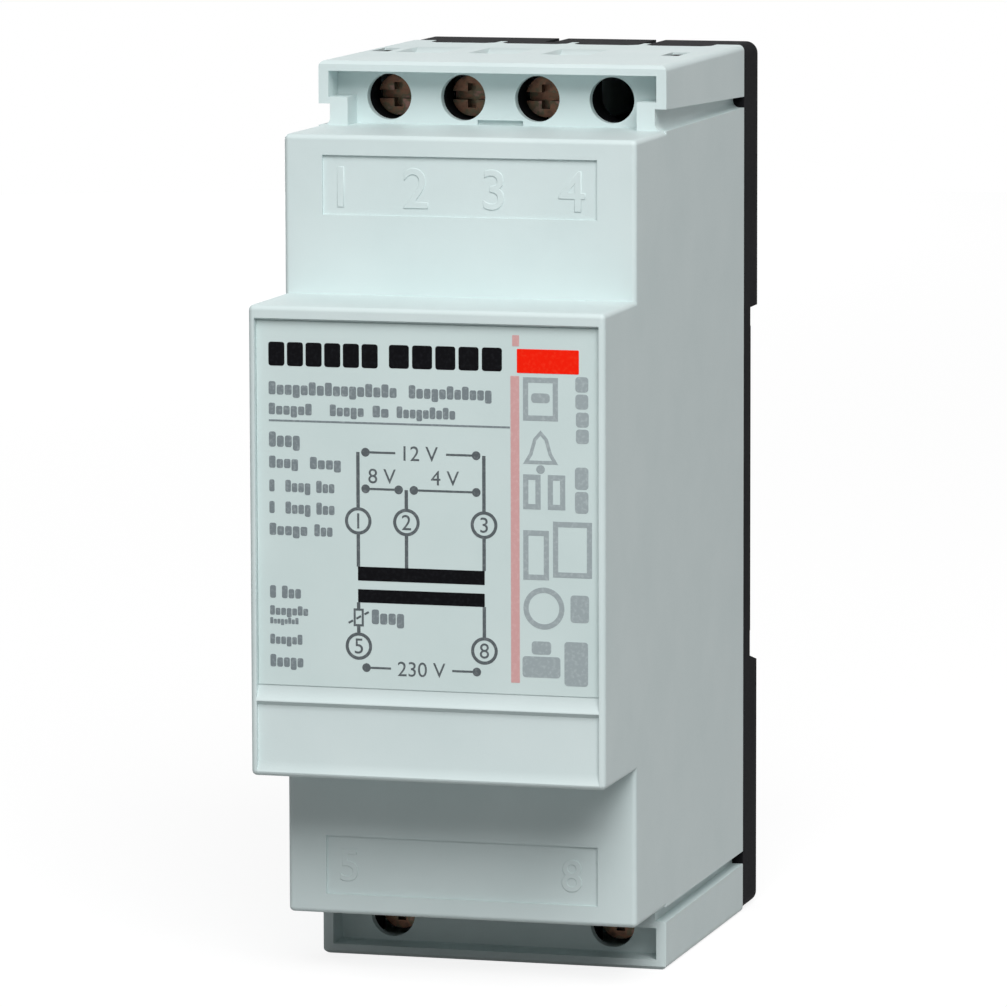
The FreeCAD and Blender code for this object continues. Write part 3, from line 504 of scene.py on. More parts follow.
def lettering(text: str, height: float, raised: float = 0.0, round_off: float = 0.0) -> bpy.types.Mesh:
    """Sets figures as a mesh in X and Y, centred on the origin.

    Args:
        text: Figures to set.
        height: Height of the figures.
        raised: Half of the thickness, or nothing for flat print.
        round_off: Rounding of the edges of raised figures.

    Returns:
        The mesh, scaled to its height.
    """
    curve = bpy.data.curves.new("figures", "FONT")
    curve.body = text
    curve.size = height
    curve.extrude = raised
    curve.bevel_depth = round_off
    curve.bevel_resolution = 1
    curve.resolution_u = 5
    carrier = bpy.data.objects.new("figures", curve)
    bpy.context.scene.collection.objects.link(carrier)
    bpy.context.view_layer.update()
    mesh = bpy.data.meshes.new_from_object(carrier.evaluated_get(bpy.context.evaluated_depsgraph_get()))
    bpy.data.objects.remove(carrier)
    bpy.data.curves.remove(curve)
    low = Vector(min(vertex.co[axis] for vertex in mesh.vertices) for axis in range(3))
    high = Vector(max(vertex.co[axis] for vertex in mesh.vertices) for axis in range(3))
    stretch = height / (high.y - low.y)
    mesh.transform(Matrix.Translation(-(low + high) / 2.0))
    mesh.transform(Matrix.Diagonal((stretch, stretch, 1.0, 1.0)))
    return mesh


@dataclass
class MouldedCopy:
    """A moulded CAD piece shown as one joined skin, so that its rounded edges shade as rounds."""

    node: str
    name: str
    body: str
    slot: Slot
    edge_round: float = 0.0
    eased_from: float = -math.inf
    flat_limit: float = math.radians(1.0)

    def build(self, finish: bpy.types.Material) -> bpy.types.Object:
        """Joins the loose triangles of the node, eases its outer edges and stands for it.

        Args:
            finish: Material of the piece.

        Returns:
            The new piece.
        """
        bm = bmesh.new()
        bm.from_mesh(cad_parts[self.node].data)
        bmesh.ops.remove_doubles(bm, verts=bm.verts, dist=JOIN)
        if self.edge_round > 0.0:
            self.ease(bm)
        smooth_by_angle(bm, ROUND_LIMIT)
        piece = keep_piece(bm, self.name, self.body, finish)
        keep_flats(piece)
        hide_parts(self.node)
        return piece

    def ease(self, bm: bmesh.types.BMesh) -> None:
        """Joins the flats and rounds the outer edges behind a given depth, as a mould leaves them.

        Args:
            bm: Mesh to ease.
        """
        bmesh.ops.dissolve_limit(bm, angle_limit=self.flat_limit, verts=bm.verts, edges=bm.edges)
        sharp = [
            edge for edge in bm.edges
            if edge.is_manifold and edge.is_convex and edge.calc_face_angle() > ROUND_LIMIT
            and all(vertex.co.y > self.eased_from for vertex in edge.verts)
        ]
        bmesh.ops.bevel(
            bm, geom=sharp, affect="EDGES", offset=self.edge_round, segments=3, profile=0.5,
            clamp_overlap=True, material=-1,
        )


@dataclass
class EmbossedNumbers:
    """Raised terminal numbers on the floors of the two number recesses."""

    floor: float = -45.95 * MM
    upper_height: float = 32.94 * MM
    lower_height: float = -33.15 * MM
    upper_size: float = 3.87 * MM
    lower_size: float = 3.17 * MM
    half_raise: float = 0.06 * MM
    round_off: float = 0.035 * MM
    upper: dict[str, float] = field(
        default_factory=lambda: {"1": -11.87 * MM, "2": -4.37 * MM, "3": 3.385 * MM, "4": 11.11 * MM}
    )
    lower: dict[str, float] = field(default_factory=lambda: {"5": -11.4 * MM, "8": 11.0 * MM})

    def build(self, finish: bpy.types.Material) -> None:
        """Stands every number on its recess.

        Args:
            finish: Material of the moulding.
        """
        rows = ((self.upper, self.upper_height, self.upper_size), (self.lower, self.lower_height, self.lower_size))
        for places, height, size in rows:
            for text, across in places.items():
                mesh = lettering(text, size, self.half_raise, self.round_off)
                mesh.transform(Matrix.Translation((across, self.floor, height)) @ STAND_UP)
                bm = bmesh.new()
                bm.from_mesh(mesh)
                bpy.data.meshes.remove(mesh)
                bmesh.ops.remove_doubles(bm, verts=bm.verts, dist=COARSE_JOIN)
                bmesh.ops.recalc_face_normals(bm, faces=bm.faces)
                keep_piece(bm, "raised_number_" + text, CASE, finish)


@dataclass
class LabelSheet:
    """The pale sheet that carries the print, cut to fill its recess and eased along its front edges."""

    fill: float = 0.09 * MM
    edge_round: float = 0.09 * MM

    def build(self, finish: bpy.types.Material) -> bpy.types.Object:
        """Cuts the sheet in its node's place and stands for the node.

        Args:
            finish: Material of the sheet.

        Returns:
            The finished piece.
        """
        node = "front_label"
        low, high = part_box(node)
        middle = (low + high) / 2.0
        size = high - low
        bm = bmesh.new()
        bmesh.ops.create_cube(bm, size=1.0)
        bmesh.ops.scale(bm, verts=bm.verts, vec=(size.x + 2.0 * self.fill, size.y, size.z + 2.0 * self.fill))
        bmesh.ops.translate(bm, verts=bm.verts, vec=middle)
        front = [edge for edge in bm.edges if all(vertex.co.y < middle.y for vertex in edge.verts)]
        bmesh.ops.bevel(
            bm, geom=front, affect="EDGES", offset=self.edge_round, segments=3, profile=0.5, material=-1,
        )
        smooth_by_angle(bm, SHEET_ROUND_LIMIT)
        piece = keep_piece(bm, "printed_label_sheet", CASE, finish)
        keep_flats(piece)
        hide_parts(node)
        return piece


class InkLayer:
    """Flat printed shapes of one ink, gathered in X and Y and then laid on the label."""

    disc_segments: int = 24
    ring_segments: int = 48

    def __init__(self, name: str) -> None:
        """Starts an empty layer.

        Args:
            name: Name of the piece that the layer becomes.
        """
        self.name = name
        self.bm = bmesh.new()

    def bar(self, left: float, right: float, low: float, high: float, corner: float) -> None:
        """Prints an upright field with slightly rounded corners.

        Args:
            left: Left edge.
            right: Right edge.
            low: Lower edge.
            high: Upper edge.
            corner: Rounding of the corners.
        """
        place = Matrix.Translation(((left + right) / 2.0, (low + high) / 2.0, 0.0))
        scale = Matrix.Diagonal((right - left, high - low, 1.0, 1.0))
        made = bmesh.ops.create_grid(self.bm, x_segments=1, y_segments=1, size=0.5, matrix=place @ scale)
        bmesh.ops.bevel(
            self.bm, geom=made["verts"], affect="VERTICES", offset=corner, segments=3, profile=0.5, material=-1,
        )

    def stroke(self, start: Sequence[float], end: Sequence[float], width: float) -> None:
        """Prints a straight line between two points.

        Args:
            start: First point.
            end: Last point.
            width: Width of the line.
        """
        run = Vector(end) - Vector(start)
        middle = (Vector(start) + Vector(end)) / 2.0
        turn = Matrix.Rotation(math.atan2(run.y, run.x), 4, "Z")
        place = Matrix.Translation((middle.x, middle.y, 0.0)) @ turn
        scale = Matrix.Diagonal((run.length, width, 1.0, 1.0))
        bmesh.ops.create_grid(self.bm, x_segments=1, y_segments=1, size=0.5, matrix=place @ scale)

    def disc(self, centre: Sequence[float], radius: float) -> None:
        """Prints a filled dot.

        Args:
            centre: Middle of the dot.
            radius: Radius of the dot.
        """
        place = Matrix.Translation((centre[0], centre[1], 0.0))
        bmesh.ops.create_circle(
            self.bm, cap_ends=True, segments=self.disc_segments, radius=radius, matrix=place,
        )

    def ring(self, centre: Sequence[float], radius: float, width: float) -> None:
        """Prints a circle.

        Args:
            centre: Middle of the circle.
            radius: Outer radius.
            width: Width of the line.
        """
        place = Matrix.Translation((centre[0], centre[1], 0.0))
        made = bmesh.ops.create_circle(
            self.bm, cap_ends=True, segments=self.ring_segments, radius=radius, matrix=place,
        )
        inner = list(made["verts"][0].link_faces)
        bmesh.ops.inset_region(self.bm, faces=inner, thickness=width, use_even_offset=True, use_boundary=True)
        bmesh.ops.delete(self.bm, geom=inner, context="FACES")

    def outline(self, corners: Sequence[Sequence[float]], line: float) -> None:
        """Prints a closed line with its outer edge through the given corners.

        Args:
            corners: Corners of the outer edge, counter-clockwise.
            line: Width of the line.
        """
        face = self.bm.faces.new([self.bm.verts.new((across, up, 0.0)) for across, up in corners])
        face.normal_update()
        bmesh.ops.inset_region(self.bm, faces=[face], thickness=line, use_even_offset=True, use_boundary=True)
        bmesh.ops.delete(self.bm, geom=[face], context="FACES")

    def frame(self, left: float, right: float, low: float, high: float, line: float) -> None:
        """Prints the outline of an upright field.

        Args:
            left: Left edge.
            right: Right edge.
            low: Lower edge.
            high: Upper edge.
            line: Width of the line.
        """
        self.outline(((left, low), (right, low), (right, high), (left, high)), line)

    def figures(self, text: str, centre: Sequence[float], height: float) -> None:
        """Prints figures.

        Args:
            text: Figures to print.
            centre: Middle of the figures.
            height: Height of the figures.
        """
        mesh = lettering(text, height)
        mesh.transform(Matrix.Translation((centre[0], centre[1], 0.0)))
        self.bm.from_mesh(mesh)
        bpy.data.meshes.remove(mesh)

    def lay(self, face: float, thickness: float, finish: bpy.types.Material) -> bpy.types.Object:
        """Gives the shapes their thickness and lays them on the label.

        Args:
            face: Place of the label's face along Y.
            thickness: Thickness of the ink.
            finish: Ink of the layer.

        Returns:
            The finished piece.
        """
        bmesh.ops.recalc_face_normals(self.bm, faces=self.bm.faces)
        for printed in self.bm.faces:
            if printed.normal.z < 0.0:
                printed.normal_flip()
        lifted = bmesh.ops.extrude_face_region(self.bm, geom=list(self.bm.faces), use_keep_orig=True)["geom"]
        bmesh.ops.translate(self.bm, verts=only(bmesh.types.BMVert, lifted), vec=(0.0, 0.0, thickness))
        bmesh.ops.recalc_face_normals(self.bm, faces=self.bm.faces)
        place = Matrix.Translation((0.0, face, 0.0)) @ STAND_UP
        bmesh.ops.transform(self.bm, matrix=place, verts=self.bm.verts)
        return keep_piece(self.bm, self.name, CASE, finish)


@dataclass
class FrontPrint:
    """Generic print on the front: fields in place of words and marks, and the winding diagram."""

    thickness: float = 0.02 * MM
    sunk: float = 0.005 * MM
    line: float = 0.33 * MM
    fine_line: float = 0.2 * MM
    dot: float = 0.42 * MM
    ring_radius: float = 1.31 * MM
    ring_line: float = 0.3 * MM
    ring_figure: float = 1.45 * MM
    value_height: float = 1.4 * MM
    value_lift: float = 1.24 * MM
    left_wire: float = -6.835 * MM
    tap_wire: float = -2.073 * MM
    right_wire: float = 5.559 * MM
    top_row: float = 8.815 * MM
    tap_row: float = 5.325 * MM
    ring_row: float = 2.231 * MM
    core_bars: tuple[tuple[float, float], ...] = ((-3.474 * MM, -2.139 * MM), (-5.57 * MM, -4.305 * MM))
    core_reach: tuple[float, float] = (-6.884 * MM, 5.608 * MM)
    mains_row: float = -9.772 * MM
    core_corner: float = 0.06 * MM
    mains_ends: float = -11.809 * MM
    dot_inset: float = 0.75 * MM
    figure_width: float = 0.75
    value_gap: float = 0.4 * MM
    # Half width and half height of the protector's box, and the slash in parts that clear its outline
    protector_half: tuple[float, float] = (0.5 * MM, 0.85 * MM)
    slash_rise: float = 0.55
    slash_parts: tuple[tuple[float, float], ...] = (
        (-1.0 * MM, -0.57 * MM), (-0.23 * MM, 0.23 * MM), (0.57 * MM, 1.0 * MM),
    )
    note_reach: tuple[float, float] = (1.3 * MM, 4.6 * MM)
    note_low: float = -7.6 * MM
    note_size: float = 1.4 * MM
    note_letters: int = 4
    # Shares of a letter's pitch or size, and the foot and rise of each block in turn
    letter_gap: float = 0.14
    letter_corner: float = 0.14
    letter_width: float = 0.62
    letter_reach: tuple[tuple[float, float], ...] = (
        (0.0, 1.0), (0.0, 0.74), (0.0, 0.76), (-0.22, 0.76), (0.0, 0.74), (0.0, 1.0), (0.0, 0.75),
    )
    # Margins, boxes, rows and corner points are in millimetres, as measured on the label
    margin: float = -15.645
    heading_words: tuple[tuple[Box, int], ...] = (((margin, -4.57, 16.82, 19.1), 6), ((-3.72, 7.67, 16.87, 19.1), 5))
    heading_corner: float = 0.25 * MM
    red_box: Box = (8.806, 14.844, 16.774, 19.048)
    red_corner: float = 0.1 * MM
    divider_boxes: tuple[Box, ...] = ((8.182, 9.033, -12.689, 16.478), (8.36, 9.033, 19.295, 20.333))
    divider_corner: float = 0.05 * MM
    rule_box: Box = (margin, 8.113, 11.504, 11.682)
    rule_corner: float = 0.03 * MM
    # Middle and size of each row, then its words and the spaces between them in turn
    type_rows: tuple[tuple[float, float, tuple[float, ...]], ...] = (
        (14.7, 1.25, (12.77, 1.09, 8.22)), (12.72, 1.1, (4.36, 1.7, 3.44, 0.79, 1.68, 0.69, 5.84)),
        (9.8, 1.45, (3.17,)), (7.63, 1.15, (2.97, 1.09, 3.17)), (5.36, 1.15, (0.6, 1.0, 2.57, 0.5, 1.88)),
        (3.28, 1.15, (0.6, 1.0, 2.57, 0.5, 1.88)), (1.2, 1.15, (3.86, 0.6, 1.88)),
        (-4.83, 1.2, (0.69, 0.5, 1.98)), (-6.61, 0.9, (3.86,)), (-7.6, 0.6, (2.87,)), (-9.38, 0.95, (3.27,)),
        (-11.45, 1.2, (3.37,)),
    )
    mark_boxes: tuple[Box, ...] = (
        (10.2, 12.0, 14.0, 14.9), (14.5, 15.75, 15.1, 16.55), (14.5, 15.75, 13.5, 14.9),
        (14.55, 15.8, 11.8, 13.2), (14.55, 15.8, 10.25, 11.6), (14.45, 15.75, 5.9, 8.0),
        (14.45, 15.75, 3.65, 5.7), (14.0, 15.8, -6.75, -4.15), (9.3, 13.0, -12.1, -10.1),
        (10.2, 12.1, -9.9, -8.65), (13.4, 15.7, -12.8, -8.6),
    )
    mark_frames: tuple[Box, ...] = (
        (9.4, 12.8, 12.3, 16.4), (9.4, 11.1, 3.9, 7.2), (11.8, 13.5, 3.9, 7.2), (9.4, 11.9, -2.8, 1.9),
        (12.3, 16.1, -2.5, 2.8),
    )
    mark_line: float = 0.5 * MM
    mark_corner: float = 0.3 * MM
    mark_ring: tuple[float, float] = (11.4 * MM, -5.5 * MM)
    mark_ring_radius: float = 2.0 * MM
    bell: tuple[tuple[float, float], ...] = (
        (9.4, 8.2), (12.8, 8.2), (12.2, 9.2), (11.8, 10.6), (11.1, 11.4), (10.4, 10.6), (10.0, 9.2),
    )
    clapper: tuple[float, float] = (11.1 * MM, 7.7 * MM)

    def build(self, inks: dict[str, bpy.types.Material]) -> None:
        """Prints every layer on the label.

        Args:
            inks: Material of each ink by its name.
        """
        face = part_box("front_label")[0].y + self.sunk
        for layer, ink in (
            (self.heading(), INK_BLACK), (self.red_field(), INK_RED), (self.divider(), INK_PINK),
            (self.small_type(), INK_GREY), (self.mark_fields(), INK_PALE_GREY), (self.wires(), INK_DARK_GREY),
            (self.core(), INK_BLACK),
        ):
            layer.lay(face, self.thickness + self.sunk, inks[ink.name])

    def word(self, layer: InkLayer, left: float, right: float, low: float, size: float, letters: int) -> None:
        """Prints one word as a row of plain blocks, which no one can read.

        Args:
            layer: Layer that takes the word.
            left: Left end of the word.
            right: Right end of the word.
            low: Line that the blocks stand on.
            size: Height of a tall block.
            letters: How many blocks the word has.
        """
        for index, (start, end) in enumerate(self.blocks(left, right, letters)):
            foot, rise = self.letter_reach[index % len(self.letter_reach)]
            layer.bar(start, end, low + foot * size, low + rise * size, self.letter_corner * size)

    def blocks(self, left: float, right: float, letters: int) -> list[tuple[float, float]]:
        """Divides a word into even blocks with gaps between them.

        Args:
            left: Left end of the word.
            right: Right end of the word.
            letters: How many blocks the word has.

        Returns:
            Left and right edge of each block.
        """
        step = (right - left) / letters
        starts = [left + index * step for index in range(letters)]
        return [(start, start + (1.0 - self.letter_gap) * step) for start in starts]

    def heading(self) -> InkLayer:
        """Returns the dark heading, two words of even blocks."""
        layer = InkLayer("print_heading")
        for box, letters in self.heading_words:
            left, right, low, high = in_metres(box)
            for start, end in self.blocks(left, right, letters):
                layer.bar(start, end, low, high, self.heading_corner)
        return layer

    def red_field(self) -> InkLayer:
        """Returns the red field beside the heading."""
        layer = InkLayer("print_red_field")
        layer.bar(*in_metres(self.red_box), self.red_corner)
        return layer

    def divider(self) -> InkLayer:
        """Returns the upright pink line."""
        layer = InkLayer("print_divider")
        for box in self.divider_boxes:
            layer.bar(*in_metres(box), self.divider_corner)
        return layer

    def small_type(self) -> InkLayer:
        """Returns the rows of small type, each word as blocks of its length."""
        layer = InkLayer("print_small_type")
        for middle, size, words in self.type_rows:
            at = self.margin * MM
            for index, length in enumerate(words):
                if index % 2 == 0:
                    letters = max(1, round(length / (self.letter_width * size)))
                    low = (middle - size / 2.0) * MM
                    self.word(layer, at, at + length * MM, low, size * MM, letters)
                at += length * MM
        left, right = (self.left_wire + reach for reach in self.note_reach)
        self.word(layer, left, right, self.note_low, self.note_size, self.note_letters)
        layer.bar(*in_metres(self.rule_box), self.rule_corner)
        return layer

    def mark_fields(self) -> InkLayer:
        """Returns plain fields, frames and a bell at the places of the marks right of the divider."""
        layer = InkLayer("print_mark_fields")
        for box in self.mark_boxes:
            layer.bar(*in_metres(box), self.mark_corner)
        for box in self.mark_frames:
            layer.frame(*in_metres(box), self.mark_line)
        layer.ring(self.mark_ring, self.mark_ring_radius, self.mark_line)
        layer.outline([in_metres(corner) for corner in self.bell], self.line)
        layer.disc(self.clapper, self.dot)
        return layer

    def wires(self) -> InkLayer:
        """Returns the thin lines, circles and figures of the winding diagram."""
        layer = InkLayer("print_diagram")
        left, tap, right = self.left_wire, self.tap_wire, self.right_wire
        upper_bar = self.core_bars[0][1]
        lower_bar = self.core_bars[1][0]
        radius = self.ring_radius
        for wire, top in ((left, self.top_row), (right, self.top_row), (tap, self.tap_row)):
            layer.stroke((wire, top), (wire, self.ring_row + radius), self.line)
            layer.stroke((wire, self.ring_row - radius), (wire, upper_bar), self.line)
        layer.stroke((right, lower_bar), (right, self.mains_row + radius), self.line)
        self.protector(layer, left, lower_bar, self.mains_row + radius)
        rings = (
            ("1", left, self.ring_row), ("2", tap, self.ring_row), ("3", right, self.ring_row),
            ("5", left, self.mains_row), ("8", right, self.mains_row),
        )
        for text, across, height in rings:
            layer.ring((across, height), radius, self.ring_line)
            layer.figures(text, (across, height), self.ring_figure)
        spans = (
            (left, right, self.top_row, "12 V"), (left, tap, self.tap_row, ""), (tap, right, self.tap_row, ""),
            (left, right, self.mains_ends, "230 V"),
        )
        for start, end, height, text in spans:
            self.measure(layer, start, end, height, text)
        layer.figures("8 V", ((left + tap) / 2.0, self.tap_row + self.value_lift), self.value_height)
        layer.figures("4 V", ((tap + right) / 2.0, self.tap_row + self.value_lift), self.value_height)
        return layer

    def protector(self, layer: InkLayer, wire: float, top: float, foot: float) -> None:
        """Prints the sign of a heat protector, a slashed box, in a wire.

        Args:
            layer: Layer that takes the sign.
            wire: Place of the wire.
            top: Upper end of the wire.
            foot: Lower end of the wire.
        """
        middle = (top + foot) / 2.0
        wide, high = self.protector_half
        layer.frame(wire - wide, wire + wide, middle - high, middle + high, self.fine_line)
        layer.stroke((wire, top), (wire, middle + high), self.line)
        layer.stroke((wire, middle - high), (wire, foot), self.line)
        for first, last in self.slash_parts:
            ends = [(wire + across, middle + self.slash_rise * across) for across in (first, last)]
            layer.stroke(ends[0], ends[1], self.fine_line)

    def measure(self, layer: InkLayer, start: float, end: float, height: float, text: str) -> None:
        """Prints one measuring line between two wires, with a dot at each end.

        Args:
            layer: Layer that takes the line.
            start: Left wire.
            end: Right wire.
            height: Height of the line.
            text: Value that breaks the line, or nothing.
        """
        layer.disc((start + self.dot_inset, height), self.dot)
        layer.disc((end - self.dot_inset, height), self.dot)
        first, last = start + self.dot_inset + self.dot, end - self.dot_inset - self.dot
        if not text:
            layer.stroke((first, height), (last, height), self.fine_line)
            return
        middle = (first + last) / 2.0
        room = self.figure_width * self.value_height * len(text) / 2.0 + self.value_gap
        layer.figures(text, (middle, height), self.value_height)
        layer.stroke((first, height), (middle - room, height), self.fine_line)
        layer.stroke((middle + room, height), (last, height), self.fine_line)

    def core(self) -> InkLayer:
        """Returns the two heavy bars of the core."""
        layer = InkLayer("print_core_bars")
        for low, high in self.core_bars:
            layer.bar(*self.core_reach, low, high, self.core_corner)
        return layer


@dataclass
class TerminalScrew:
    """A clamping screw with a slotted and crossed cheese head and a threaded shank."""

    terminal: str
    drive_width: float = 0.85 * MM
    drive_depth: float = 1.3 * MM
    cross_half: float = 1.2 * MM
    rim_round: float = 0.22 * MM
    shank_radius: float = 1.75 * MM
    thread_depth: float = 0.3 * MM
    pitch: float = 0.6 * MM
    head_height: float = 1.8 * MM
    tip_gap: float = 0.05 * MM
    cut_join: float = 0.0001 * MM
    rim_share: float = 0.97
    segments: int = 48
    thread_steps: int = 20

    def build(self, finish: bpy.types.Material) -> bpy.types.Object:
        """Builds the screw at its node's place and stands for the node.

        Args:
            finish: Material of the screw.

        Returns:
            The finished piece.
        """
        node = "terminal_screw_" + self.terminal
        low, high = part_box(node)
        head_radius = (high.x - low.x) / 2.0
        bm = bmesh.new()
        self.head(bm, head_radius)
        self.shank(bm, high.y - low.y)
        middle = (low + high) / 2.0
        place = Matrix.Translation((middle.x, low.y, middle.z)) @ STAND_UP
        bmesh.ops.transform(bm, matrix=place, verts=bm.verts)
        smooth_by_angle(bm, ROUND_LIMIT)
        piece = keep_piece(bm, "slotted_" + node, "screw_" + self.terminal, finish)
        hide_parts(node)
        return piece

    def head(self, bm: bmesh.types.BMesh, radius: float) -> None:
        """Turns the head and cuts its slot and cross.

        Args:
            bm: Mesh that takes the head, with its top at zero.
            radius: Radius of the head.
        """
        half = self.drive_width / 2.0
        bmesh.ops.create_circle(bm, cap_ends=True, segments=self.segments, radius=radius)
        rim = [edge for edge in bm.edges if edge.is_boundary]
        for depth in (self.drive_depth, self.head_height - self.drive_depth):
            wall = bmesh.ops.extrude_edge_only(bm, edges=rim)["geom"]
            bmesh.ops.translate(bm, verts=only(bmesh.types.BMVert, wall), vec=(0.0, 0.0, -depth))
            rim = only(bmesh.types.BMEdge, wall)
        bmesh.ops.holes_fill(bm, edges=rim)
        cuts = (
            (0.0, half), (0.0, -half), (half, 0.0), (-half, 0.0), (0.0, self.cross_half), (0.0, -self.cross_half),
        )
        for across, up in cuts:
            self.cut(bm, Vector((across, up, 0.0)))
        floor = [face for face in bm.faces if face.normal.z > UPRIGHT and self.in_drive(face.calc_center_median())]
        bmesh.ops.delete(bm, geom=self.slot_ends(bm, self.rim_share * radius), context="FACES")
        sunk = only(bmesh.types.BMVert, bmesh.ops.extrude_face_region(bm, geom=floor)["geom"])
        bmesh.ops.delete(bm, geom=floor, context="FACES")
        bmesh.ops.translate(bm, verts=sunk, vec=(0.0, 0.0, -self.drive_depth))
        bmesh.ops.delete(bm, geom=self.slot_ends(bm, self.rim_share * radius), context="FACES")
        bmesh.ops.remove_doubles(bm, verts=bm.verts, dist=COARSE_JOIN)
        bmesh.ops.recalc_face_normals(bm, faces=bm.faces)

    def slot_ends(self, bm: bmesh.types.BMesh, reach: float) -> list[bmesh.types.BMFace]:
        """Lists the upright faces that close the ends of the slot.

        Args:
            bm: Mesh of the head.
            reach: Distance from the axis that the faces lie past.

        Returns:
            The faces, as the mesh holds them now.
        """
        found = []
        for face in bm.faces:
            middle = face.calc_center_median()
            in_slot = abs(middle.y) < self.drive_width / 2.0 and middle.z > -self.drive_depth
            if abs(face.normal.z) < UPRIGHT and in_slot and middle.xy.length > reach:
                found.append(face)
        return found

    def cut(self, bm: bmesh.types.BMesh, through: Vector) -> None:
        """Splits the top and walls along an upright plane.

        Args:
            bm: Mesh to split.
            through: Point of the plane, which also gives its direction.
        """
        geom = list(bm.verts) + list(bm.edges) + list(bm.faces)
        bmesh.ops.bisect_plane(bm, geom=geom, plane_co=through, plane_no=through.normalized(), dist=self.cut_join)

    def in_drive(self, point: Vector) -> bool:
        """Says whether a point of the top lies in the slot or the cross.

        Args:
            point: Point of the head.

        Returns:
            True where the drive is cut.
        """
        half = self.drive_width / 2.0
        slot = abs(point.y) < half
        cross = abs(point.x) < half and abs(point.y) < self.cross_half
        return point.z > -self.rim_round and (slot or cross)

    def shank(self, bm: bmesh.types.BMesh, length: float) -> None:
        """Winds the thread from under the head to the tip.

        Args:
            bm: Mesh that takes the shank.
            length: Length of the whole screw.
        """
        turns = int((length - self.head_height) / self.pitch)
        root = self.shank_radius - self.thread_depth
        start = -length + self.tip_gap
        profile = [
            bm.verts.new((root, 0.0, start)),
            bm.verts.new((self.shank_radius, 0.0, start + self.pitch / 2.0)),
            bm.verts.new((root, 0.0, start + self.pitch)),
        ]
        edges = [bm.edges.new(profile[index:index + 2]) for index in range(2)]
        steps = turns * self.thread_steps
        bmesh.ops.spin(
            bm, geom=profile + edges, cent=(0.0, 0.0, 0.0), axis=(0.0, 0.0, 1.0),
            dvec=(0.0, 0.0, self.pitch / self.thread_steps), angle=2.0 * math.pi * turns, steps=steps,
        )
        bmesh.ops.remove_doubles(bm, verts=bm.verts, dist=JOIN)
        open_edges = [edge for edge in bm.edges if edge.is_boundary]
        bmesh.ops.holes_fill(bm, edges=open_edges)
        bmesh.ops.recalc_face_normals(bm, faces=bm.faces)


@dataclass
class FoldedSpring:
    """The latch's spring, a steel strip folded to and fro, which shortens as the latch is pulled down; here it is
    built only in its rest shape.
    """

    runs: int = 4
    strip: float = 0.35 * MM
    edge_round: float = 0.08 * MM
    bend_steps: int = 10
    travel: float = 3.0 * MM

    def build(self, finish: bpy.types.Material) -> bpy.types.Object:
        """Folds the strip in its node's place and stands for the node.

        Args:
            finish: Material of the spring.

        Returns:
            The finished piece.
        """
        node = "latch_spring"
        low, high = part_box(node)
        length = high.z - low.z
        step = (length - self.strip) / (self.runs - 1)
        bend = (step + self.strip) / 2.0
        reach = (high.x - low.x) / 2.0 - bend
        middle = (low + high) / 2.0
        bm = bmesh.new()
        end = self.strip_end(bm, high.y - low.y)
        bmesh.ops.translate(bm, verts=bm.verts, vec=(middle.x - reach, middle.y, low.z + self.strip / 2.0))
        for run in range(self.runs):
            side = 1.0 if run % 2 == 0 else -1.0
            made = bmesh.ops.extrude_edge_only(bm, edges=end)["geom"]
            end = only(bmesh.types.BMEdge, made)
            corners = only(bmesh.types.BMVert, made)
            bmesh.ops.translate(bm, verts=corners, vec=(2.0 * side * reach, 0.0, 0.0))
            if run + 1 < self.runs:
                bent = bmesh.ops.spin(
                    bm, geom=corners + end, cent=(middle.x + side * reach, middle.y, low.z + run * step + bend),
                    axis=(0.0, -side, 0.0), angle=math.pi, steps=self.bend_steps,
                )["geom_last"]
                end = only(bmesh.types.BMEdge, bent)
        bmesh.ops.remove_doubles(bm, verts=bm.verts, dist=JOIN)
        bmesh.ops.holes_fill(bm, edges=[edge for edge in bm.edges if edge.is_boundary])
        bmesh.ops.recalc_face_normals(bm, faces=bm.faces)
        smooth_by_angle(bm, SHEET_ROUND_LIMIT)
        piece = keep_piece(bm, "folded_" + node, CASE, finish)
        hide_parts(node)
        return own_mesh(piece)

    def strip_end(self, bm: bmesh.types.BMesh, depth: float) -> list[bmesh.types.BMEdge]:
        """Draws the strip's end with eased corners.

        Args:
            bm: Empty mesh that takes the outline.
            depth: Width of the strip, along Y.

        Returns:
            The edges of the outline.
        """
        bmesh.ops.create_grid(bm, x_segments=1, y_segments=1, size=0.5)
        size = Matrix.Diagonal((self.strip, depth, 1.0, 1.0))
        bmesh.ops.transform(bm, matrix=Matrix.Rotation(math.radians(90.0), 4, "Y") @ size, verts=bm.verts)
        bmesh.ops.bevel(
            bm, geom=bm.verts, affect="VERTICES", offset=self.edge_round, segments=2, profile=0.5, material=-1,
        )
        bmesh.ops.delete(bm, geom=bm.faces, context="FACES_ONLY")
        return list(bm.edges)


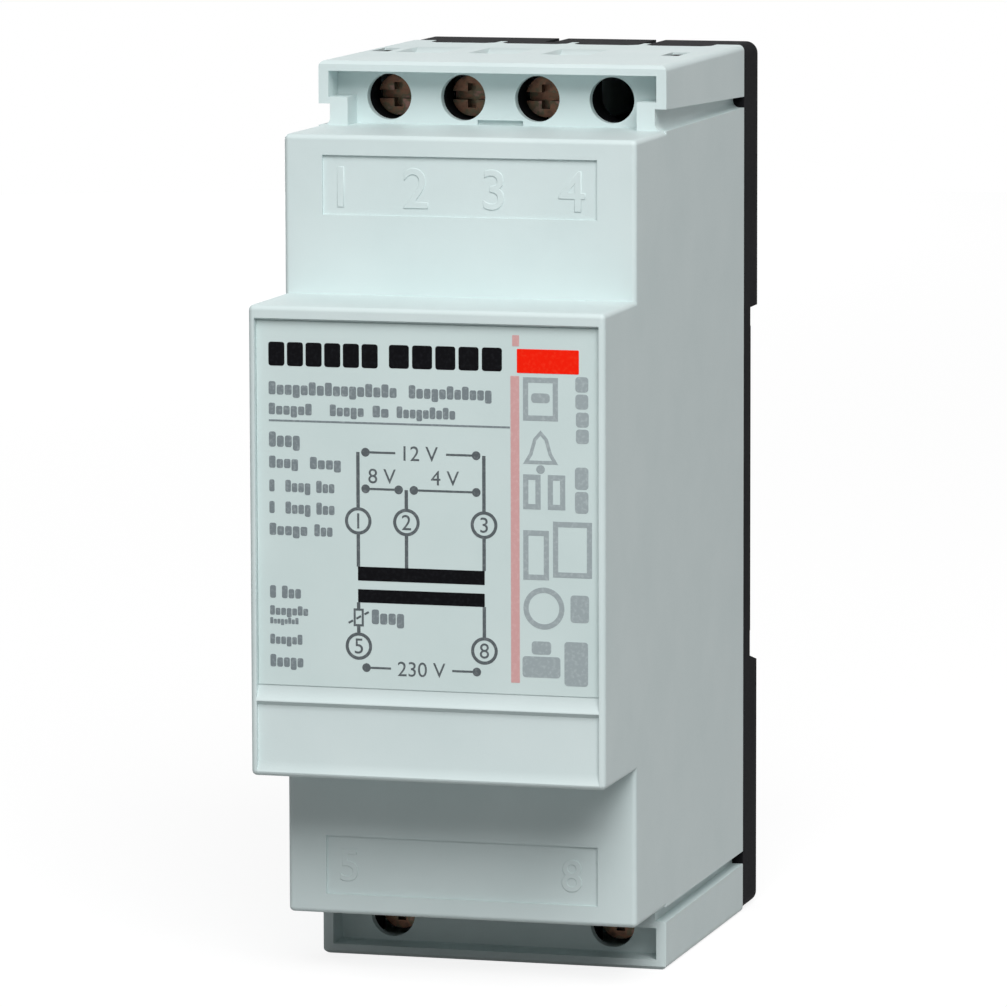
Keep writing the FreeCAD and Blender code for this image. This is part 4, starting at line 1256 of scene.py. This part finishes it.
@dataclass
class InnerPieces:
    """Pieces of the solid model, which keep their shape and get a finish."""

    leads_blue: tuple[str, ...] = ("lead_5", "lead_6", "lead_8")

    def dress(self) -> dict[str, bpy.types.Material]:
        """Gives every node its finish.

        Returns:
            Material of each finish by its name.
        """
        made: dict[str, bpy.types.Material] = {}
        for node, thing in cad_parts.items():
            finish = self.finish_of(node)
            if finish.name not in made:
                made[finish.name] = finish.make()
            thing.data.materials.clear()
            thing.data.materials.append(made[finish.name])
            LOG.info("%s dressed as %s", node, finish.name)
        return made

    def finish_of(self, node: str) -> MouldedPlastic | PlatedMetal | BandedMetal:
        """Picks the finish of a node.

        Args:
            node: Name of the node.

        Returns:
            The finish of its material.
        """
        families = {
            "housing": HOUSING_GREY, "front_label": LABEL_FACE, "base": BASE_BLACK, "rail_latch": LATCH_BLACK,
            "latch_spring": SPRING_STEEL, "core": CORE_STEEL, "bobbin": FORMER_NYLON,
            "primary_winding": WINDING_COPPER, "secondary_winding": WINDING_COPPER, "primary_wrap": WRAP_FILM,
            "secondary_wrap": WRAP_FILM, "ptc_disc": PROTECTOR_CERAMIC, "terminal_screw": SCREW_ZINC_AND_SHADE,
            "clamp_cage": CAGE_ZINC, "contact_bar": CONTACT_BRASS, "lead": LEAD_WHITE,
        }
        if node in self.leads_blue:
            return LEAD_BLUE
        family = next(name for name in families if node.startswith(name))
        return families[family]


@dataclass
class Studio:
    """Pale floor, soft lamps and the camera of the reference view."""

    floor_radius: float = 0.85
    floor_segments: int = 96
    azimuth: float = 15.611
    elevation: float = 7.444
    roll: float = -0.156
    aim: tuple[float, float, float] = (-0.002643, -0.021232, -0.000554)
    distance: float = 0.706631
    lens: float = 253.707
    sensor: float = 36.0
    sight: float = 20.0
    key_place: tuple[float, float, float] = (0.31, -0.755, 0.76)
    key_side: float = 0.75
    key_power: float = 13.2
    back_place: tuple[float, float, float] = (-0.62, 0.85, 0.12)
    back_side: float = 0.3
    back_power: float = 5.0
    sky_strength: float = 0.18
    floor_paper: float = 0.2
    floor_glow: float = 0.85
    floor_bounce: float = 0.3

    def build(self) -> None:
        """Sets up the view, the floor and the light."""
        self.view()
        self.floor()
        self.sky()
        self.lamp("key_lamp", self.key_place, self.key_side, self.key_power)
        self.lamp("back_lamp", self.back_place, self.back_side, self.back_power)
        bpy.context.scene.view_settings.view_transform = "Standard"

    def view(self) -> None:
        """Places the camera by its angles round the aimed point."""
        data = bpy.data.cameras.new("reference_view")
        data.lens = self.lens
        data.sensor_width = self.sensor
        data.clip_end = self.sight
        camera = bpy.data.objects.new("reference_view", data)
        turn = Matrix.Rotation(math.radians(self.azimuth), 4, "Z")
        tilt = Matrix.Rotation(math.radians(90.0 - self.elevation), 4, "X")
        roll = Matrix.Rotation(math.radians(self.roll), 4, "Z")
        back = Matrix.Translation((0.0, 0.0, self.distance))
        camera.matrix_world = Matrix.Translation(self.aim) @ turn @ tilt @ back @ roll
        bpy.context.scene.collection.objects.link(camera)
        bpy.context.scene.camera = camera

    def floor(self) -> None:
        """Lays a large round floor under the object."""
        bm = bmesh.new()
        bmesh.ops.create_circle(bm, cap_ends=True, segments=self.floor_segments, radius=self.floor_radius)
        bmesh.ops.translate(bm, verts=bm.verts, vec=(0.0, 0.0, CAD_BOUNDS[0].z))
        mesh = bpy.data.meshes.new("studio_floor")
        bm.to_mesh(mesh)
        bm.free()
        floor = bpy.data.objects.new("studio_floor", mesh)
        bpy.context.scene.collection.objects.link(floor)
        mesh.materials.append(self.floor_finish())

    def floor_finish(self) -> bpy.types.Material:
        """Makes a pale floor that the camera sees as white and that still takes the shadow.

        Returns:
            The floor's material.
        """
        material = bpy.data.materials.new("studio_floor_white")
        material.use_nodes = True
        nodes, links = material.node_tree.nodes, material.node_tree.links
        nodes.remove(nodes["Principled BSDF"])
        paper = nodes.new("ShaderNodeBsdfDiffuse")
        paper.inputs["Color"].default_value = grey(self.floor_paper)
        dull = nodes.new("ShaderNodeBsdfDiffuse")
        dull.inputs["Color"].default_value = grey(self.floor_bounce)
        glow = nodes.new("ShaderNodeEmission")
        glow.inputs["Color"].default_value = grey(self.floor_glow)
        both = nodes.new("ShaderNodeAddShader")
        links.new(paper.outputs["BSDF"], both.inputs[0])
        links.new(glow.outputs["Emission"], both.inputs[1])
        pick = nodes.new("ShaderNodeMixShader")
        links.new(self.seen_directly(nodes, links), pick.inputs["Fac"])
        links.new(dull.outputs["BSDF"], pick.inputs[1])
        links.new(both.outputs["Shader"], pick.inputs[2])
        links.new(pick.outputs["Shader"], nodes["Material Output"].inputs["Surface"])
        return material

    def seen_directly(self, nodes: bpy.types.Nodes, links: bpy.types.NodeLinks) -> bpy.types.NodeSocket:
        """Adds a switch for rays that show the stage itself.

        Args:
            nodes: Nodes of the stage's material or sky.
            links: Links of the same tree.

        Returns:
            One for the camera, for gloss and for see-through rays, and nought for the light on the object.
        """
        path = nodes.new("ShaderNodeLightPath")
        seen = path.outputs["Is Camera Ray"]
        for kind in ("Is Glossy Ray", "Is Transmission Ray"):
            either = nodes.new("ShaderNodeMath")
            either.operation = "MAXIMUM"
            links.new(seen, either.inputs[0])
            links.new(path.outputs[kind], either.inputs[1])
            seen = either.outputs["Value"]
        return seen

    def sky(self) -> None:
        """Surrounds the object with an even pale light."""
        world = bpy.data.worlds.new("studio_sky")
        bpy.context.scene.world = world
        world.use_nodes = True
        nodes, links = world.node_tree.nodes, world.node_tree.links
        soft = nodes["Background"]
        soft.inputs["Color"].default_value = grey(1.0)
        soft.inputs["Strength"].default_value = self.sky_strength
        white = nodes.new("ShaderNodeBackground")
        white.inputs["Color"].default_value = grey(1.0)
        white.inputs["Strength"].default_value = 1.0
        pick = nodes.new("ShaderNodeMixShader")
        links.new(self.seen_directly(nodes, links), pick.inputs["Fac"])
        links.new(soft.outputs["Background"], pick.inputs[1])
        links.new(white.outputs["Background"], pick.inputs[2])
        links.new(pick.outputs["Shader"], nodes["World Output"].inputs["Surface"])

    def lamp(self, name: str, place: Sequence[float], side: float, power: float) -> None:
        """Hangs a square soft lamp that faces the object.

        Args:
            name: Name of the lamp.
            place: Where it hangs.
            side: Length of its side.
            power: Power in watts.
        """
        data = bpy.data.lights.new(name, "AREA")
        data.size = side
        data.energy = power
        lamp = bpy.data.objects.new(name, data)
        lamp.location = place
        facing = Vector(self.aim) - Vector(place)
        lamp.rotation_euler = facing.to_track_quat("-Z", "Y").to_euler()
        bpy.context.scene.collection.objects.link(lamp)


def main() -> None:
    """Sets up the studio, then dresses the transformer and adds its new pieces."""
    logging.basicConfig(level=logging.INFO, format="%(name)s: %(message)s")
    Studio().build()
    made = InnerPieces().dress()
    copies = (
        (MouldedCopy("housing", "moulded_housing", CASE, Slot.HOUSING), HOUSING_GREY),
        (MouldedCopy("base", "moulded_base", CASE, Slot.BASE, edge_round=0.25 * MM, eased_from=0.5 * MM), BASE_BLACK),
        (MouldedCopy("rail_latch", "moulded_latch", "latch", Slot.LATCH, edge_round=0.25 * MM), LATCH_BLACK),
    )
    for copy, finish in copies:
        copy.build(made[finish.name])
    FoldedSpring().build(made[SPRING_STEEL.name])
    EmbossedNumbers().build(made[HOUSING_GREY.name])
    LabelSheet().build(made[LABEL_FACE.name])
    kinds = (INK_BLACK, INK_DARK_GREY, INK_GREY, INK_PALE_GREY, INK_RED, INK_PINK)
    FrontPrint().build({ink.name: ink.make() for ink in kinds})
    for terminal in TERMINALS:
        TerminalScrew(terminal).build(made[SCREW_ZINC_AND_SHADE.name])


if __name__ == "__main__":
    main()
